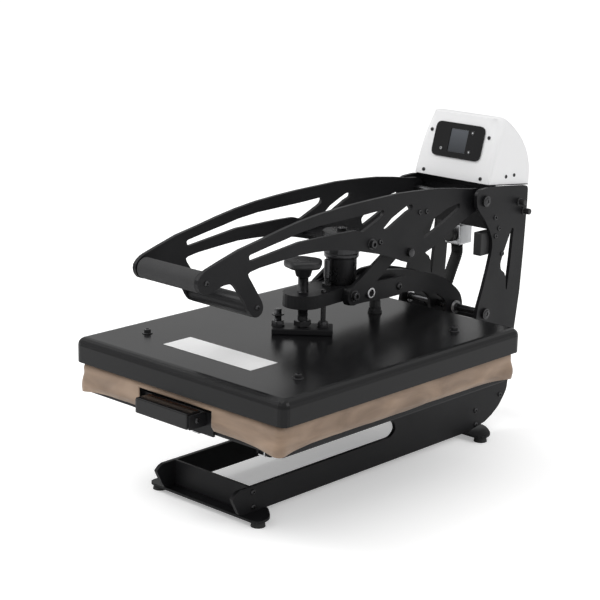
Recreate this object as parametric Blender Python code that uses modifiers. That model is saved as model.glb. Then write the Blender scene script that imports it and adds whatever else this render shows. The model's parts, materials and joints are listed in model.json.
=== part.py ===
"""Clamshell heat press with a slide-out lower platen, metres, +Z up, front towards -Y.

The side view is drawn from the platen centre: depth runs to the back, height from the base bar.
Tables of shares give places along those two driving sizes.
"""
import math

import bmesh
import bpy
from mathutils import Matrix, Vector

# Driving sizes
PLATEN_WIDTH = 0.400
PLATEN_DEPTH = 0.500
SIDE_DEPTH = 0.500
SIDE_HEIGHT = 0.500
CLEAR = 0.0003
OVERRUN = 0.004

# Feet and base
FOOT_HEIGHT = 0.008
FOOT_RADIUS = 0.011
FOOT_TOP_RADIUS = 0.0095
FOOT_PLATE_THICKNESS = 0.004
FOOT_PLATE_DEPTH = 0.056
FOOT_PLATE_OVERHANG = 0.033
FOOT_INSET = 0.012
PLATE_THICKNESS = 0.006
SIDE_OUTER_X = 0.082
CROSS_THICKNESS = 0.004
CORNER_CUT = 0.007

# Slide rails and carriage
RAIL_HEIGHT = 0.026
RAIL_WALL = 0.002
RAIL_WIDTH = 0.013
RAIL_PLAY = 0.0005
CARRIAGE_THICKNESS = 0.003
CARRIAGE_REAR_GAP = 0.040
SPACER_HEIGHT = 0.0085
SPACER_RADIUS = 0.010

# Lower platen, pad and wrap
LOWER_THICKNESS = 0.038
PAD_THICKNESS = 0.0098
WRAP_THICKNESS = 0.0009
WRAP_FRONT_ROOM = 0.0112
WRAP_SIDE_ROOM = 0.0045
WRAP_DROP = 0.0370
WRAP_CORNER_DROP = 0.0055
WRAP_FLARE = 0.0060
WRAP_CORNER_RADIUS = 0.014
WRAP_RIPPLE = 0.0008
WRAP_CORNER_STEPS = 6
WRAP_SIDE_STEPS = 12

# Drawer handle
PULL_HALF_WIDTH = 0.053
PULL_HEIGHT = 0.023
PULL_DEPTH = 0.027
PULL_WALL = 0.003
PULL_TOP_DROP = 0.013
PULL_NOTCH_ROOM = 0.004
PULL_BRACKET_HALF_WIDTH = 0.070
PULL_BRACKET_HEIGHT = 0.034
PULL_BRACKET_THICKNESS = 0.004

# Heated platen and its cover
COVER_MARGIN = 0.015
COVER_HEIGHT = 0.0375
COVER_WALL = 0.0015
COVER_EDGE_RADIUS = 0.012
HEAT_THICKNESS = 0.015
PRESS_GAP = 0.0004
HEAT_RECESS = 0.0003
ELEMENT_RADIUS = 0.003
ELEMENT_RUNS = 6

# Pressure parts
BAR_LENGTH = 0.092
BAR_DEPTH = 0.040
BAR_HEIGHT = 0.0090
BAR_TURN = math.radians(42.0)
STUD_OFFSET = 0.037
ROD_OFFSET = 0.031
STUD_RADIUS = 0.006
ROD_RADIUS = 0.004
SCREW_RADIUS = 0.0083
SCREW_NUT_RADIUS = 0.0128
SCREW_NUT_HEIGHT = 0.009
KNOB_RADIUS = 0.0315
KNOB_HEIGHT = 0.012
KNOB_HUB_RADIUS = 0.015
KNOB_HUB_HEIGHT = 0.014
KNOB_LOBES = 5
KNOB_LOBE_SHARE = 0.05
KNOB_TAPER_SHARE = 0.72
SCREW_FOOT = 0.002
SCREW_RISE = 0.024
SCREW_STROKE = 0.006
GLAND_RADIUS = 0.009
GLAND_HEIGHT = 0.022
GLAND_FLANGE_RADIUS = 0.0115
CABLE_RADIUS = 0.004

# Platen arm
HEAD_RADIUS = 0.031
HEAD_BACK_HALF_WIDTH = 0.0276
HEAD_THICKNESS = 0.0205
ARM_OUTER_X = 0.020
ARM_TONGUE_LENGTH = 0.024
CHEEK_THICKNESS = 0.0057
SHAFT_RADIUS = 0.006
SHAFT_PLAY = 0.0004
PIN_RADIUS = 0.005
BOLT_HEAD_HEIGHT = 0.004
BOLT_HEAD_RADIUS = 0.009
MAGNET_RADIUS = 0.024
MAGNET_HEIGHT = 0.041
MAGNET_CAP_RADIUS = 0.027
MAGNET_CAP_HEIGHT = 0.008
PILLAR_RADIUS = 0.005

# Handle
HANDLE_OUTER_X = 0.066
LINK_OUTER_X = 0.040
GRIP_RADIUS = 0.0155
CROSS_TUBE_RADIUS = 0.0145
STRIKE_BAR_THICKNESS = 0.006
STRIKE_BAR_DEPTH = 0.050
STRIKE_RADIUS = 0.028
ARMATURE_RADIUS = 0.030
ARMATURE_THICKNESS = 0.0055
STRIKE_BOLT_RADIUS = 0.007

# Control housing
HOUSING_HALF_WIDTH = 0.077
HOUSING_WALL = 0.003
BEZEL_WIDTH = 0.099
BEZEL_HEIGHT = 0.057
BEZEL_THICKNESS = 0.0022
BEZEL_CORNER_RADIUS = 0.011
BEZEL_RISE = 0.056
SCREEN_WIDTH = 0.035
SCREEN_HEIGHT = 0.038
SCREEN_THICKNESS = 0.0012
BUTTON_RADIUS = 0.0035
BUTTON_PROUD = 0.0006
BUTTON_TRAVEL = 0.0005
BUTTON_PLAY = 0.0004
BUTTON_RIGHT_X = 0.0265
BUTTON_LEFT_X = 0.0305
BUTTON_RISE = 0.0157
BOARD_THICKNESS = 0.0016
BOARD_GAP = 0.012
BOARD_POST_RADIUS = 0.004

# Fittings between the uprights
PANEL_THICKNESS = 0.004
FITTING_HALF_WIDTH = 0.015
FITTING_DISC_RADIUS = 0.0128
FITTING_DISC_DEPTH = 0.009
HOSE_RADIUS = 0.0070
HOSE_DROP = 0.018
HOSE_SWING = 0.014
HOSE_RISE = 0.058
HOSE_END_RISE = 0.030
CABLE_BEND = 0.012
SWITCH_WIDTH = 0.0155
INLET_WIDTH = 0.027
INLET_HEIGHT = 0.020
INLET_DEPTH = 0.016
INLET_LIP = 0.0015
INLET_WALL = 0.003

ROUND_SIDES = 24
SMALL_SIDES = 12
TINY_SIDES = 8

# Derived levels
BASE_Z = FOOT_HEIGHT + FOOT_PLATE_THICKNESS
SIDE_INNER_X = SIDE_OUTER_X - PLATE_THICKNESS
HANDLE_INNER_X = HANDLE_OUTER_X - PLATE_THICKNESS
LINK_INNER_X = LINK_OUTER_X - PLATE_THICKNESS


def side(share):
    """A place in the side view: depth from the platen centre, height from the base bar."""
    return Vector((SIDE_DEPTH * share[0], BASE_Z + SIDE_HEIGHT * share[1]))


# Side plate: low bar, upright and the fork that carries the drawer rails
SIDE_PLATE_SHARES = [
    (-0.424, 0.0), (0.632, 0.0), (0.724, 0.014), (0.760, 0.030), (0.798, 0.054), (0.824, 0.084),
    (0.838, 0.104), (0.842, 0.132), (0.864, 0.320), (0.882, 0.436), (0.892, 0.572), (0.900, 0.740),
    (0.900, 0.790), (0.700, 0.810), (0.640, 0.808), (0.626, 0.794), (0.626, 0.776), (0.630, 0.750),
    (0.652, 0.728), (0.676, 0.702), (0.700, 0.668), (0.714, 0.642), (0.720, 0.616), (0.714, 0.584),
    (0.700, 0.536), (0.678, 0.472), (0.658, 0.422), (0.652, 0.390), (0.640, 0.330), (0.620, 0.270),
    (0.584, 0.236), (0.540, 0.228), (-0.300, 0.228), (-0.312, 0.216), (-0.312, 0.148),
    (0.160, 0.142), (0.226, 0.136), (0.246, 0.128), (0.254, 0.120), (0.260, 0.104), (0.258, 0.096),
    (0.246, 0.084), (0.232, 0.078), (0.212, 0.078), (-0.434, 0.078), (-0.454, 0.062), (-0.454, 0.058)]
SIDE_WINDOW_SHARES = [
    (0.824, 0.660), (0.832, 0.656), (0.822, 0.548), (0.810, 0.450), (0.804, 0.458), (0.802, 0.494),
    (0.792, 0.514), (0.772, 0.526), (0.768, 0.548), (0.782, 0.582), (0.814, 0.644)]
FORK_FRONT_SHARE = (-0.312, 0.148)
FORK_TOP_SHARE = (0.540, 0.228)
FRONT_PLATE_SHARE = (-0.382, 0.0)
FRONT_FOOT_SHARE = (-0.420, 0.0)
REAR_FOOT_SHARE = (0.620, 0.0)
BASE_TOP_SHARE = (0.0, 0.078)
REAR_PLATE_SHARE = (0.826, 0.110)
REAR_PLATE_TOP_SHARE = (0.826, 0.350)
RAIL_REAR_SHARE = (0.400, 0.146)

# Pivots: handle hinge, handle to link, link to platen arm, platen arm shaft
HINGE = side((0.670, 0.768))
LINK_TOP = side((0.336, 0.648))
LINK_FOOT = side((0.144, 0.533))
ARM_SHAFT = side((0.694, 0.392))

HANDLE_SHARES = [
    (-0.564, 0.712), (-0.540, 0.732), (-0.480, 0.750), (-0.402, 0.772), (-0.324, 0.786),
    (-0.244, 0.802), (-0.162, 0.816), (-0.078, 0.826), (0.008, 0.832), (0.096, 0.836),
    (0.188, 0.838), (0.280, 0.840), (0.376, 0.836), (0.474, 0.830), (0.560, 0.819), (0.630, 0.808),
    (0.672, 0.804), (0.692, 0.798), (0.704, 0.782), (0.706, 0.764), (0.698, 0.746), (0.682, 0.734),
    (0.656, 0.730), (0.604, 0.710), (0.534, 0.682), (0.446, 0.644), (0.404, 0.632), (0.368, 0.644),
    (0.362, 0.626), (0.346, 0.616), (0.326, 0.617), (0.278, 0.636), (0.196, 0.664), (0.094, 0.690),
    (0.036, 0.702), (-0.030, 0.712), (-0.092, 0.716), (-0.160, 0.718), (-0.234, 0.714),
    (-0.322, 0.708), (-0.374, 0.700), (-0.354, 0.672), (-0.330, 0.636), (-0.312, 0.608),
    (-0.306, 0.592), (-0.310, 0.576), (-0.324, 0.566), (-0.342, 0.566), (-0.358, 0.578),
    (-0.380, 0.616), (-0.404, 0.650), (-0.428, 0.680), (-0.464, 0.682), (-0.500, 0.672),
    (-0.524, 0.664), (-0.548, 0.670), (-0.562, 0.688)]
HANDLE_SLOT_SHARES = [
    [(-0.362, 0.732), (-0.242, 0.746), (-0.160, 0.756), (-0.076, 0.756), (0.012, 0.756),
     (0.086, 0.754), (0.114, 0.744), (0.204, 0.780), (0.212, 0.796), (0.200, 0.800),
     (0.108, 0.796), (-0.076, 0.792), (-0.160, 0.784), (-0.218, 0.774), (-0.284, 0.764),
     (-0.368, 0.750)],
    [(0.206, 0.740), (0.246, 0.768), (0.284, 0.784), (0.320, 0.798), (0.344, 0.798),
     (0.344, 0.784), (0.318, 0.776), (0.230, 0.736)],
    [(0.406, 0.680), (0.396, 0.704), (0.430, 0.732), (0.480, 0.748), (0.514, 0.760),
     (0.560, 0.768), (0.580, 0.770), (0.580, 0.752), (0.482, 0.710)]]
GRIP_SHARE = (-0.530, 0.698)
CROSS_TUBE_SHARE = (-0.332, 0.594)
STRIKE_SHARE = (0.170, 0.696)

# Toggle link drawn from its lower pivot, across and along the line between the pivots
LINK_FOOT_WIDTH = 0.030
LINK_TOP_WIDTH = 0.025

ARM_PLATE_SHARES = [
    (0.262, 0.500), (0.262, 0.556), (0.298, 0.574), (0.356, 0.574), (0.430, 0.562),
    (0.500, 0.545), (0.568, 0.526), (0.642, 0.496), (0.698, 0.456), (0.724, 0.432),
    (0.738, 0.396), (0.732, 0.366), (0.706, 0.348), (0.680, 0.348), (0.658, 0.366),
    (0.652, 0.392), (0.652, 0.412), (0.632, 0.434), (0.604, 0.450), (0.540, 0.470),
    (0.460, 0.484), (0.370, 0.494)]
CHEEK_SHARES = [
    (0.120, 0.506), (0.114, 0.533), (0.120, 0.556), (0.144, 0.562), (0.200, 0.560),
    (0.242, 0.556), (0.320, 0.554), (0.408, 0.550), (0.408, 0.504), (0.370, 0.494),
    (0.316, 0.494), (0.280, 0.496), (0.200, 0.500), (0.144, 0.500)]
HEAD_BOTTOM_SHARE = (0.0, 0.516)
HEAD_REAR_SHARE = (0.250, 0.516)
HEAD_NARROW_SHARE = (0.100, 0.516)
MAGNET_SHARE = (0.170, 0.0)
PILLAR_SHARE = (0.106, 0.0)
GLAND_SHARE = (0.336, 0.0)

HOUSING_FACE_SHARE = (0.700, 0.826)
HOUSING_FACE_TOP_SHARE = (0.738, 0.958)
HOUSING_FRONT_SHARE = (0.704, 0.814)
HOUSING_REAR_SHARE = (0.920, 0.792)
# Height, depth at the back, half width and corner radius of each level of the housing
HOUSING_LEVEL_SHARES = [
    (0.850, 0.920, 1.00, 0.05), (0.884, 0.910, 1.00, 0.08), (0.924, 0.878, 0.99, 0.13),
    (0.962, 0.848, 0.97, 0.19), (0.990, 0.832, 0.95, 0.23), (1.010, 0.816, 0.91, 0.21),
    (1.019, 0.800, 0.86, 0.12)]
PANEL_SHARE = (0.732, 0.662)
PANEL_TOP_SHARE = (0.732, 0.790)
FITTING_SHARE = (0.694, 0.592)
FITTING_TOP_SHARE = (0.798, 0.660)
SWITCH_SHARE = (0.674, 0.584)
SWITCH_TOP_SHARE = (0.736, 0.660)
INLET_SHARE = (0.826, 0.230)

FORK_TOP_Z = side(FORK_TOP_SHARE)[1]
FORK_BOTTOM_Z = side(FORK_FRONT_SHARE)[1]
FORK_FRONT_Y = side(FORK_FRONT_SHARE)[0]
RAIL_BOTTOM_Z = FORK_BOTTOM_Z + RAIL_PLAY
RAIL_TOP_Z = RAIL_BOTTOM_Z + RAIL_HEIGHT
RAIL_REAR_Y = side(RAIL_REAR_SHARE)[0]
CARRIAGE_TOP_Z = FORK_TOP_Z + 2 * CARRIAGE_THICKNESS - RAIL_PLAY
LOWER_BOTTOM_Z = CARRIAGE_TOP_Z + SPACER_HEIGHT
LOWER_TOP_Z = LOWER_BOTTOM_Z + LOWER_THICKNESS
PAD_TOP_Z = LOWER_TOP_Z + CLEAR + PAD_THICKNESS
WRAP_TOP_Z = PAD_TOP_Z + CLEAR + WRAP_THICKNESS
COVER_BOTTOM_Z = WRAP_TOP_Z + PRESS_GAP
COVER_TOP_Z = COVER_BOTTOM_Z + COVER_HEIGHT
HEAT_BOTTOM_Z = COVER_BOTTOM_Z + HEAT_RECESS
HEAT_TOP_Z = HEAT_BOTTOM_Z + HEAT_THICKNESS
HEAD_BOTTOM_Z = side(HEAD_BOTTOM_SHARE)[1]
HEAD_TOP_Z = HEAD_BOTTOM_Z + HEAD_THICKNESS
BAR_BOTTOM_Z = COVER_TOP_Z + CLEAR
BAR_TOP_Z = BAR_BOTTOM_Z + BAR_HEIGHT
PULL_FRONT_Y = -(PLATEN_DEPTH / 2 + WRAP_FRONT_ROOM + WRAP_THICKNESS + PULL_DEPTH)
HOUSING_REAR_Y = side(HOUSING_REAR_SHARE)[0]
ORIGIN_SHIFT = -(PULL_FRONT_Y + HOUSING_REAR_Y) / 2

for old in list(bpy.data.objects):
    bpy.data.objects.remove(old, do_unlink=True)

parts = bpy.data.collections.new("clamshell_heat_press")
cutters = bpy.data.collections.new("cutters")
for made in (parts, cutters):
    bpy.context.scene.collection.children.link(made)


def paint(name, colour, roughness, metallic=0.0):
    """A plain Principled material."""
    made = bpy.data.materials.new(name)
    made.use_nodes = True
    shader = made.node_tree.nodes["Principled BSDF"]
    shader.inputs["Base Color"].default_value = (*colour, 1.0)
    shader.inputs["Roughness"].default_value = roughness
    shader.inputs["Metallic"].default_value = metallic
    made.diffuse_color = (*colour, 1.0)
    return made


BLACK_PAINT = paint("black_powder_coat", (0.022, 0.022, 0.024), 0.42)
GLOSS_BLACK = paint("gloss_black_paint", (0.018, 0.018, 0.020), 0.16)
BLACK_PLASTIC = paint("black_plastic", (0.020, 0.020, 0.022), 0.50)
RUBBER = paint("black_rubber", (0.018, 0.018, 0.018), 0.80)
WHITE_PAINT = paint("white_paint", (0.86, 0.86, 0.86), 0.35)
ZINC = paint("zinc_steel", (0.62, 0.62, 0.63), 0.32, 1.0)
BLACK_STEEL = paint("black_oxide_steel", (0.035, 0.035, 0.037), 0.38, 0.6)
ALUMINIUM = paint("cast_aluminium", (0.55, 0.56, 0.58), 0.36, 1.0)
BROWN_SHEET = paint("brown_coated_sheet", (0.46, 0.31, 0.20), 0.55)
SILICONE = paint("orange_silicone", (0.55, 0.20, 0.06), 0.70)
FELT = paint("insulation_felt", (0.72, 0.70, 0.64), 0.95)
SCREEN = paint("display_glass", (0.07, 0.08, 0.09), 0.12)
BOARD_GREEN = paint("circuit_board", (0.03, 0.16, 0.07), 0.45)

PIVOTS = {}


def axis_point(name, place, parent=None):
    """An empty on a joint's axis, the parent of the pieces that move there."""
    empty = bpy.data.objects.new(name, None)
    parts.objects.link(empty)
    PIVOTS[name] = Vector(place)
    if parent is None:
        empty.location = (0.0, ORIGIN_SHIFT, 0.0)
    else:
        empty.parent = bpy.data.objects[parent]
        empty.location = PIVOTS[name] - PIVOTS[parent]
    return empty


axis_point("frame_root", (0.0, 0.0, 0.0))
axis_point("handle_axis", (0.0, HINGE[0], HINGE[1]), "frame_root")
axis_point("link_axis", (0.0, LINK_TOP[0], LINK_TOP[1]), "handle_axis")
axis_point("arm_axis", (0.0, ARM_SHAFT[0], ARM_SHAFT[1]), "frame_root")
axis_point("lift_slide", (0.0, 0.0, BAR_TOP_Z), "arm_axis")
axis_point("screw_axis", (0.0, 0.0, BAR_TOP_Z), "lift_slide")
axis_point("drawer_slide", (0.0, FORK_FRONT_Y, FORK_TOP_Z), "frame_root")

FRAME = "frame_root"
HANDLE = "handle_axis"
LINK = "link_axis"
ARM = "arm_axis"
LIFT = "lift_slide"
SCREW = "screw_axis"
DRAWER = "drawer_slide"


def place(name, data, body, colour, spot=(0.0, 0.0, 0.0), turn=(0.0, 0.0, 0.0)):
    """Put mesh or curve data under its body's empty, at a spot of the whole press."""
    made = bpy.data.objects.new(name, data)
    parts.objects.link(made)
    made.parent = bpy.data.objects[body]
    made.location = Vector(spot) - PIVOTS[body]
    made.rotation_euler = turn
    if not data.materials:
        data.materials.append(colour)
    return made


def soften(points, reach, steps=3):
    """Round the corners of a closed outline, each by at most reach along its two edges."""
    count = len(points)
    out = []
    for i in range(count):
        here = Vector(points[i])
        back = Vector(points[i - 1]) - here
        ahead = Vector(points[(i + 1) % count]) - here
        turn = math.pi - back.angle(ahead)
        if turn < math.radians(16):
            out.append(here)
            continue
        start = here + back.normalized() * min(reach, back.length * 0.45)
        end = here + ahead.normalized() * min(reach, ahead.length * 0.45)
        for step in range(steps + 1):
            t = step / steps
            out.append(start * (1 - t) ** 2 + here * (2 * t * (1 - t)) + end * t ** 2)
    return out


def ring(centre, radius, sides=SMALL_SIDES):
    """Points on a circle."""
    return [Vector((centre[0] + radius * math.cos(2 * math.pi * i / sides),
                    centre[1] + radius * math.sin(2 * math.pi * i / sides))) for i in range(sides)]


def flat_curve(name, loops, thickness):
    """A filled flat curve, thick both ways from its plane."""
    data = bpy.data.curves.new(name, "CURVE")
    data.dimensions = "2D"
    data.fill_mode = "BOTH"
    data.extrude = thickness / 2
    for loop in loops:
        line = data.splines.new("POLY")
        line.points.add(len(loop) - 1)
        for point, spot in zip(line.points, loop):
            point.co = (spot[0], spot[1], 0.0, 1.0)
        line.use_cyclic_u = True
    return data


SIDE_TURN = (math.pi / 2, 0.0, math.pi / 2)


def side_plate(name, outline, holes, middle_x, thickness, body, colour, data=None):
    """A plate cut to an outline of the side view, standing across X."""
    pivot = PIVOTS[body]
    if data is None:
        shift = Vector((pivot[1], pivot[2]))
        loops = [[Vector(p) - shift for p in loop] for loop in [outline, *holes]]
        data = flat_curve(name, loops, thickness)
    spot = (middle_x, pivot[1], pivot[2])
    return place(name, data, body, colour, spot, SIDE_TURN)


def plate_pair(stem, outline, holes, middle_x, thickness, body, colour):
    """The same plate on the right and on the left."""
    right = side_plate(stem + "_right", outline, holes, middle_x, thickness, body, colour)
    side_plate(stem + "_left", outline, holes, -middle_x, thickness, body, colour, right.data)


def box(name, low, high, body, colour, bevel=0.0, segments=2):
    """A block between two corners."""
    mesh = bpy.data.meshes.new(name)
    solid = bmesh.new()
    size = Vector(high) - Vector(low)
    bmesh.ops.create_cube(solid, size=1.0, matrix=Matrix.Diagonal((*size, 1.0)))
    solid.to_mesh(mesh)
    solid.free()
    made = place(name, mesh, body, colour, (Vector(low) + Vector(high)) / 2)
    if bevel:
        edge = made.modifiers.new("edges", "BEVEL")
        edge.width = bevel
        edge.segments = segments
        edge.limit_method = "ANGLE"
    return made


AXIS_TURNS = {
    "X": Matrix.Rotation(math.pi / 2, 4, "Y"),
    "Y": Matrix.Rotation(-math.pi / 2, 4, "X"),
    "Z": Matrix.Identity(4)}


def smooth_shade(mesh):
    """Round sides shaded smooth, with sharp rims."""
    mesh.shade_smooth()
    mesh.set_sharp_from_angle(angle=math.radians(35))


def rounds(name, list_of, body, colour):
    """Cylinders and cones in one node: axis, centre, radius, second radius, length, sides."""
    mesh = bpy.data.meshes.new(name)
    solid = bmesh.new()
    pivot = PIVOTS[body]
    for axis, centre, radius, radius_end, length, sides in list_of:
        spin = Matrix.Rotation(math.pi / sides, 4, "Z")
        matrix = Matrix.Translation(Vector(centre) - pivot) @ AXIS_TURNS[axis] @ spin
        bmesh.ops.create_cone(solid, cap_ends=True, segments=sides, radius1=radius,
                              radius2=radius_end, depth=length, matrix=matrix)
    solid.to_mesh(mesh)
    solid.free()
    smooth_shade(mesh)
    return place(name, mesh, body, colour, pivot)


def cylinder(name, axis, centre, radius, length, body, colour, sides=ROUND_SIDES):
    """One round bar."""
    return rounds(name, [(axis, centre, radius, radius, length, sides)], body, colour)


def turned(name, profile, spot, body, colour, turn=(0.0, 0.0, 0.0), steps=ROUND_SIDES):
    """A profile of radius and height, from the top down, turned round its axis."""
    mesh = bpy.data.meshes.new(name)
    solid = bmesh.new()
    marks = [solid.verts.new((radius, 0.0, height)) for radius, height in profile]
    for first, second in zip(marks, marks[1:]):
        solid.edges.new((first, second))
    solid.to_mesh(mesh)
    solid.free()
    made = place(name, mesh, body, colour, spot, turn)
    screw = made.modifiers.new("turn", "SCREW")
    screw.steps = steps
    screw.render_steps = steps
    screw.use_merge_vertices = True
    screw.merge_threshold = 0.00001
    return made


def tube(name, route, radius, body, colour, resolution=2, smooth=4):
    """A wire, cable or hose along a smooth line through the route's places."""
    pivot = PIVOTS[body]
    spots = [Vector(p) for p in route]
    line = []
    for i in range(len(spots) - 1):
        a = spots[max(i - 1, 0)]
        b = spots[i]
        c = spots[i + 1]
        d = spots[min(i + 2, len(spots) - 1)]
        for step in range(smooth):
            t = step / smooth
            line.append(((b * 2) + (c - a) * t + (a * 2 - b * 5 + c * 4 - d) * t ** 2
                         + (b * 3 - a - c * 3 + d) * t ** 3) / 2)
    line.append(spots[-1])
    data = bpy.data.curves.new(name, "CURVE")
    data.dimensions = "3D"
    data.bevel_depth = radius
    data.bevel_resolution = resolution
    data.use_fill_caps = True
    path = data.splines.new("POLY")
    path.points.add(len(line) - 1)
    for point, spot in zip(path.points, line):
        point.co = (*(spot - pivot), 1.0)
    return place(name, data, body, colour, pivot)


def cut(target, cutter):
    """Take a cutter's shape out of a solid."""
    for group in list(cutter.users_collection):
        group.objects.unlink(cutter)
    cutters.objects.link(cutter)
    cutter.hide_render = True
    cutter.display_type = "WIRE"
    tool = target.modifiers.new("cut", "BOOLEAN")
    tool.object = cutter
    tool.operation = "DIFFERENCE"
    tool.solver = "EXACT"


def join(target, tool):
    """Make a piece and a shape that overlaps it one body."""
    cut(target, tool)
    target.modifiers[-1].name = "join"
    target.modifiers[-1].operation = "UNION"


def as_mesh(made):
    """Turn a curve object into a closed mesh object with the same name and place."""
    name = made.name
    bpy.context.view_layer.update()
    graph = bpy.context.evaluated_depsgraph_get()
    mesh = bpy.data.meshes.new_from_object(made.evaluated_get(graph))
    solid = bmesh.new()
    solid.from_mesh(mesh)
    bmesh.ops.remove_doubles(solid, verts=solid.verts, dist=0.00001)
    solid.to_mesh(mesh)
    solid.free()
    colour = made.data.materials[0]
    parent = made.parent
    matrix = made.matrix_world.copy()
    bpy.data.objects.remove(made, do_unlink=True)
    done = bpy.data.objects.new(name, mesh)
    parts.objects.link(done)
    done.parent = parent
    done.matrix_world = matrix
    if not mesh.materials:
        mesh.materials.append(colour)
    return done


def both_sides(places):
    """Each place, and its mirror on the left."""
    return [*places, *[(-x, y, z) for x, y, z in places]]


HOLE = SHAFT_RADIUS + SHAFT_PLAY
PIN_HOLE = PIN_RADIUS + SHAFT_PLAY

# Frame: two side plates, cross plates, foot plates and rubber feet
side_outline = soften([side(s) for s in SIDE_PLATE_SHARES], CORNER_CUT)
side_window = soften([side(s) for s in SIDE_WINDOW_SHARES], CORNER_CUT / 2)
side_middle_x = SIDE_OUTER_X - PLATE_THICKNESS / 2
plate_pair("side_plate", side_outline, [side_window, ring(HINGE, HOLE), ring(ARM_SHAFT, HOLE)],
           side_middle_x, PLATE_THICKNESS, FRAME, BLACK_PAINT)

cross_half_width = SIDE_INNER_X - CLEAR
base_top_z = side(BASE_TOP_SHARE)[1]
front_plate_y = side(FRONT_PLATE_SHARE)[0]
box("front_cross_plate", (-cross_half_width, front_plate_y, BASE_Z + CLEAR),
    (cross_half_width, front_plate_y + CROSS_THICKNESS, base_top_z), FRAME, BLACK_PAINT)
rear_low = side(REAR_PLATE_SHARE)
rear_high = side(REAR_PLATE_TOP_SHARE)
rear_plate = box("rear_cross_plate", (-cross_half_width, rear_low[0] - CROSS_THICKNESS, rear_low[1]),
                 (cross_half_width, rear_low[0], rear_high[1]), FRAME, BLACK_PAINT)
foot_x = SIDE_OUTER_X + FOOT_PLATE_OVERHANG - FOOT_INSET
foot_spots = []
for stem, share in (("foot_plate_front", FRONT_FOOT_SHARE), ("foot_plate_rear", REAR_FOOT_SHARE)):
    low_y = side(share)[0]
    half = SIDE_OUTER_X + FOOT_PLATE_OVERHANG
    outline = soften([(-half, low_y), (half, low_y), (half, low_y + FOOT_PLATE_DEPTH / 2),
                      (SIDE_OUTER_X, low_y + FOOT_PLATE_DEPTH),
                      (-SIDE_OUTER_X, low_y + FOOT_PLATE_DEPTH),
                      (-half, low_y + FOOT_PLATE_DEPTH / 2)], 2 * CORNER_CUT)
    data = flat_curve(stem, [outline], FOOT_PLATE_THICKNESS - CLEAR)
    place(stem, data, FRAME, BLACK_PAINT, (0.0, 0.0, FOOT_HEIGHT + FOOT_PLATE_THICKNESS / 2))
    foot_spots += both_sides([(foot_x, low_y + FOOT_PLATE_DEPTH / 4, FOOT_HEIGHT / 2)])
for number, spot in enumerate(foot_spots, 1):
    rounds("rubber_foot_%d" % number, [("Z", spot, FOOT_RADIUS, FOOT_TOP_RADIUS, FOOT_HEIGHT,
                                        ROUND_SIDES)], FRAME, RUBBER)

# Shafts with their heads outside the side plates
head_x = SIDE_OUTER_X + CLEAR + BOLT_HEAD_HEIGHT
neck_x = head_x - BOLT_HEAD_HEIGHT
for stem, pivot in (("handle_hinge_shaft", HINGE), ("platen_arm_shaft", ARM_SHAFT)):
    turned(stem, [(0.0, head_x), (BOLT_HEAD_RADIUS, head_x), (BOLT_HEAD_RADIUS, neck_x),
                  (SHAFT_RADIUS, neck_x), (SHAFT_RADIUS, -neck_x), (BOLT_HEAD_RADIUS, -neck_x),
                  (BOLT_HEAD_RADIUS, -head_x), (0.0, -head_x)], (0.0, *pivot), FRAME, BLACK_STEEL,
           (0.0, math.pi / 2, 0.0))

# Panels between the uprights
panel_low = side(PANEL_SHARE)
panel_high = side(PANEL_TOP_SHARE)
box("top_cross_panel", (-cross_half_width, panel_low[0], panel_low[1]),
    (cross_half_width, panel_low[0] + PANEL_THICKNESS, panel_high[1]), FRAME, BLACK_PAINT)

# Power inlet let into the rear plate
inlet_y = rear_low[0]
inlet_z = side(INLET_SHARE)[1]
inlet_hole = box("inlet_hole", (-INLET_WIDTH / 2 - CLEAR, inlet_y - CROSS_THICKNESS - OVERRUN,
                                inlet_z - INLET_HEIGHT / 2 - CLEAR),
                 (INLET_WIDTH / 2 + CLEAR, inlet_y + OVERRUN, inlet_z + INLET_HEIGHT / 2 + CLEAR),
                 FRAME, BLACK_PAINT)
cut(rear_plate, inlet_hole)
inlet = box("power_inlet", (-INLET_WIDTH / 2, inlet_y - INLET_DEPTH, inlet_z - INLET_HEIGHT / 2),
            (INLET_WIDTH / 2, inlet_y + INLET_LIP, inlet_z + INLET_HEIGHT / 2), FRAME, BLACK_PLASTIC)
inlet_socket = box("inlet_socket", (-INLET_WIDTH / 2 + INLET_WALL, inlet_y - INLET_DEPTH + INLET_WALL,
                                    inlet_z - INLET_HEIGHT / 2 + INLET_WALL),
                   (INLET_WIDTH / 2 - INLET_WALL, inlet_y + OVERRUN,
                    inlet_z + INLET_HEIGHT / 2 - INLET_WALL), FRAME, BLACK_PLASTIC)
cut(inlet, inlet_socket)

# Connector block under the top panel, its dark plug disc, and the arm switch on the upright
fit_low = side(FITTING_SHARE)
fit_high = side(FITTING_TOP_SHARE)
block = box("connector_block", (-FITTING_HALF_WIDTH, fit_low[0], fit_low[1]),
            (FITTING_HALF_WIDTH, fit_high[0], fit_high[1]), FRAME, ALUMINIUM, COVER_WALL)
plug = cylinder("connector_plug", "Y", (0.0, fit_low[0], (fit_low[1] + fit_high[1]) / 2),
                FITTING_DISC_RADIUS, 2 * FITTING_DISC_DEPTH, FRAME, BLACK_PLASTIC, TINY_SIDES)
join(block, plug)
switch_low = side(SWITCH_SHARE)
switch_high = side(SWITCH_TOP_SHARE)
box("arm_switch", (SIDE_INNER_X - CLEAR - SWITCH_WIDTH, switch_low[0], switch_low[1]),
    (SIDE_INNER_X - CLEAR, switch_high[0], switch_high[1]), FRAME, BLACK_PLASTIC, COVER_WALL)

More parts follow.
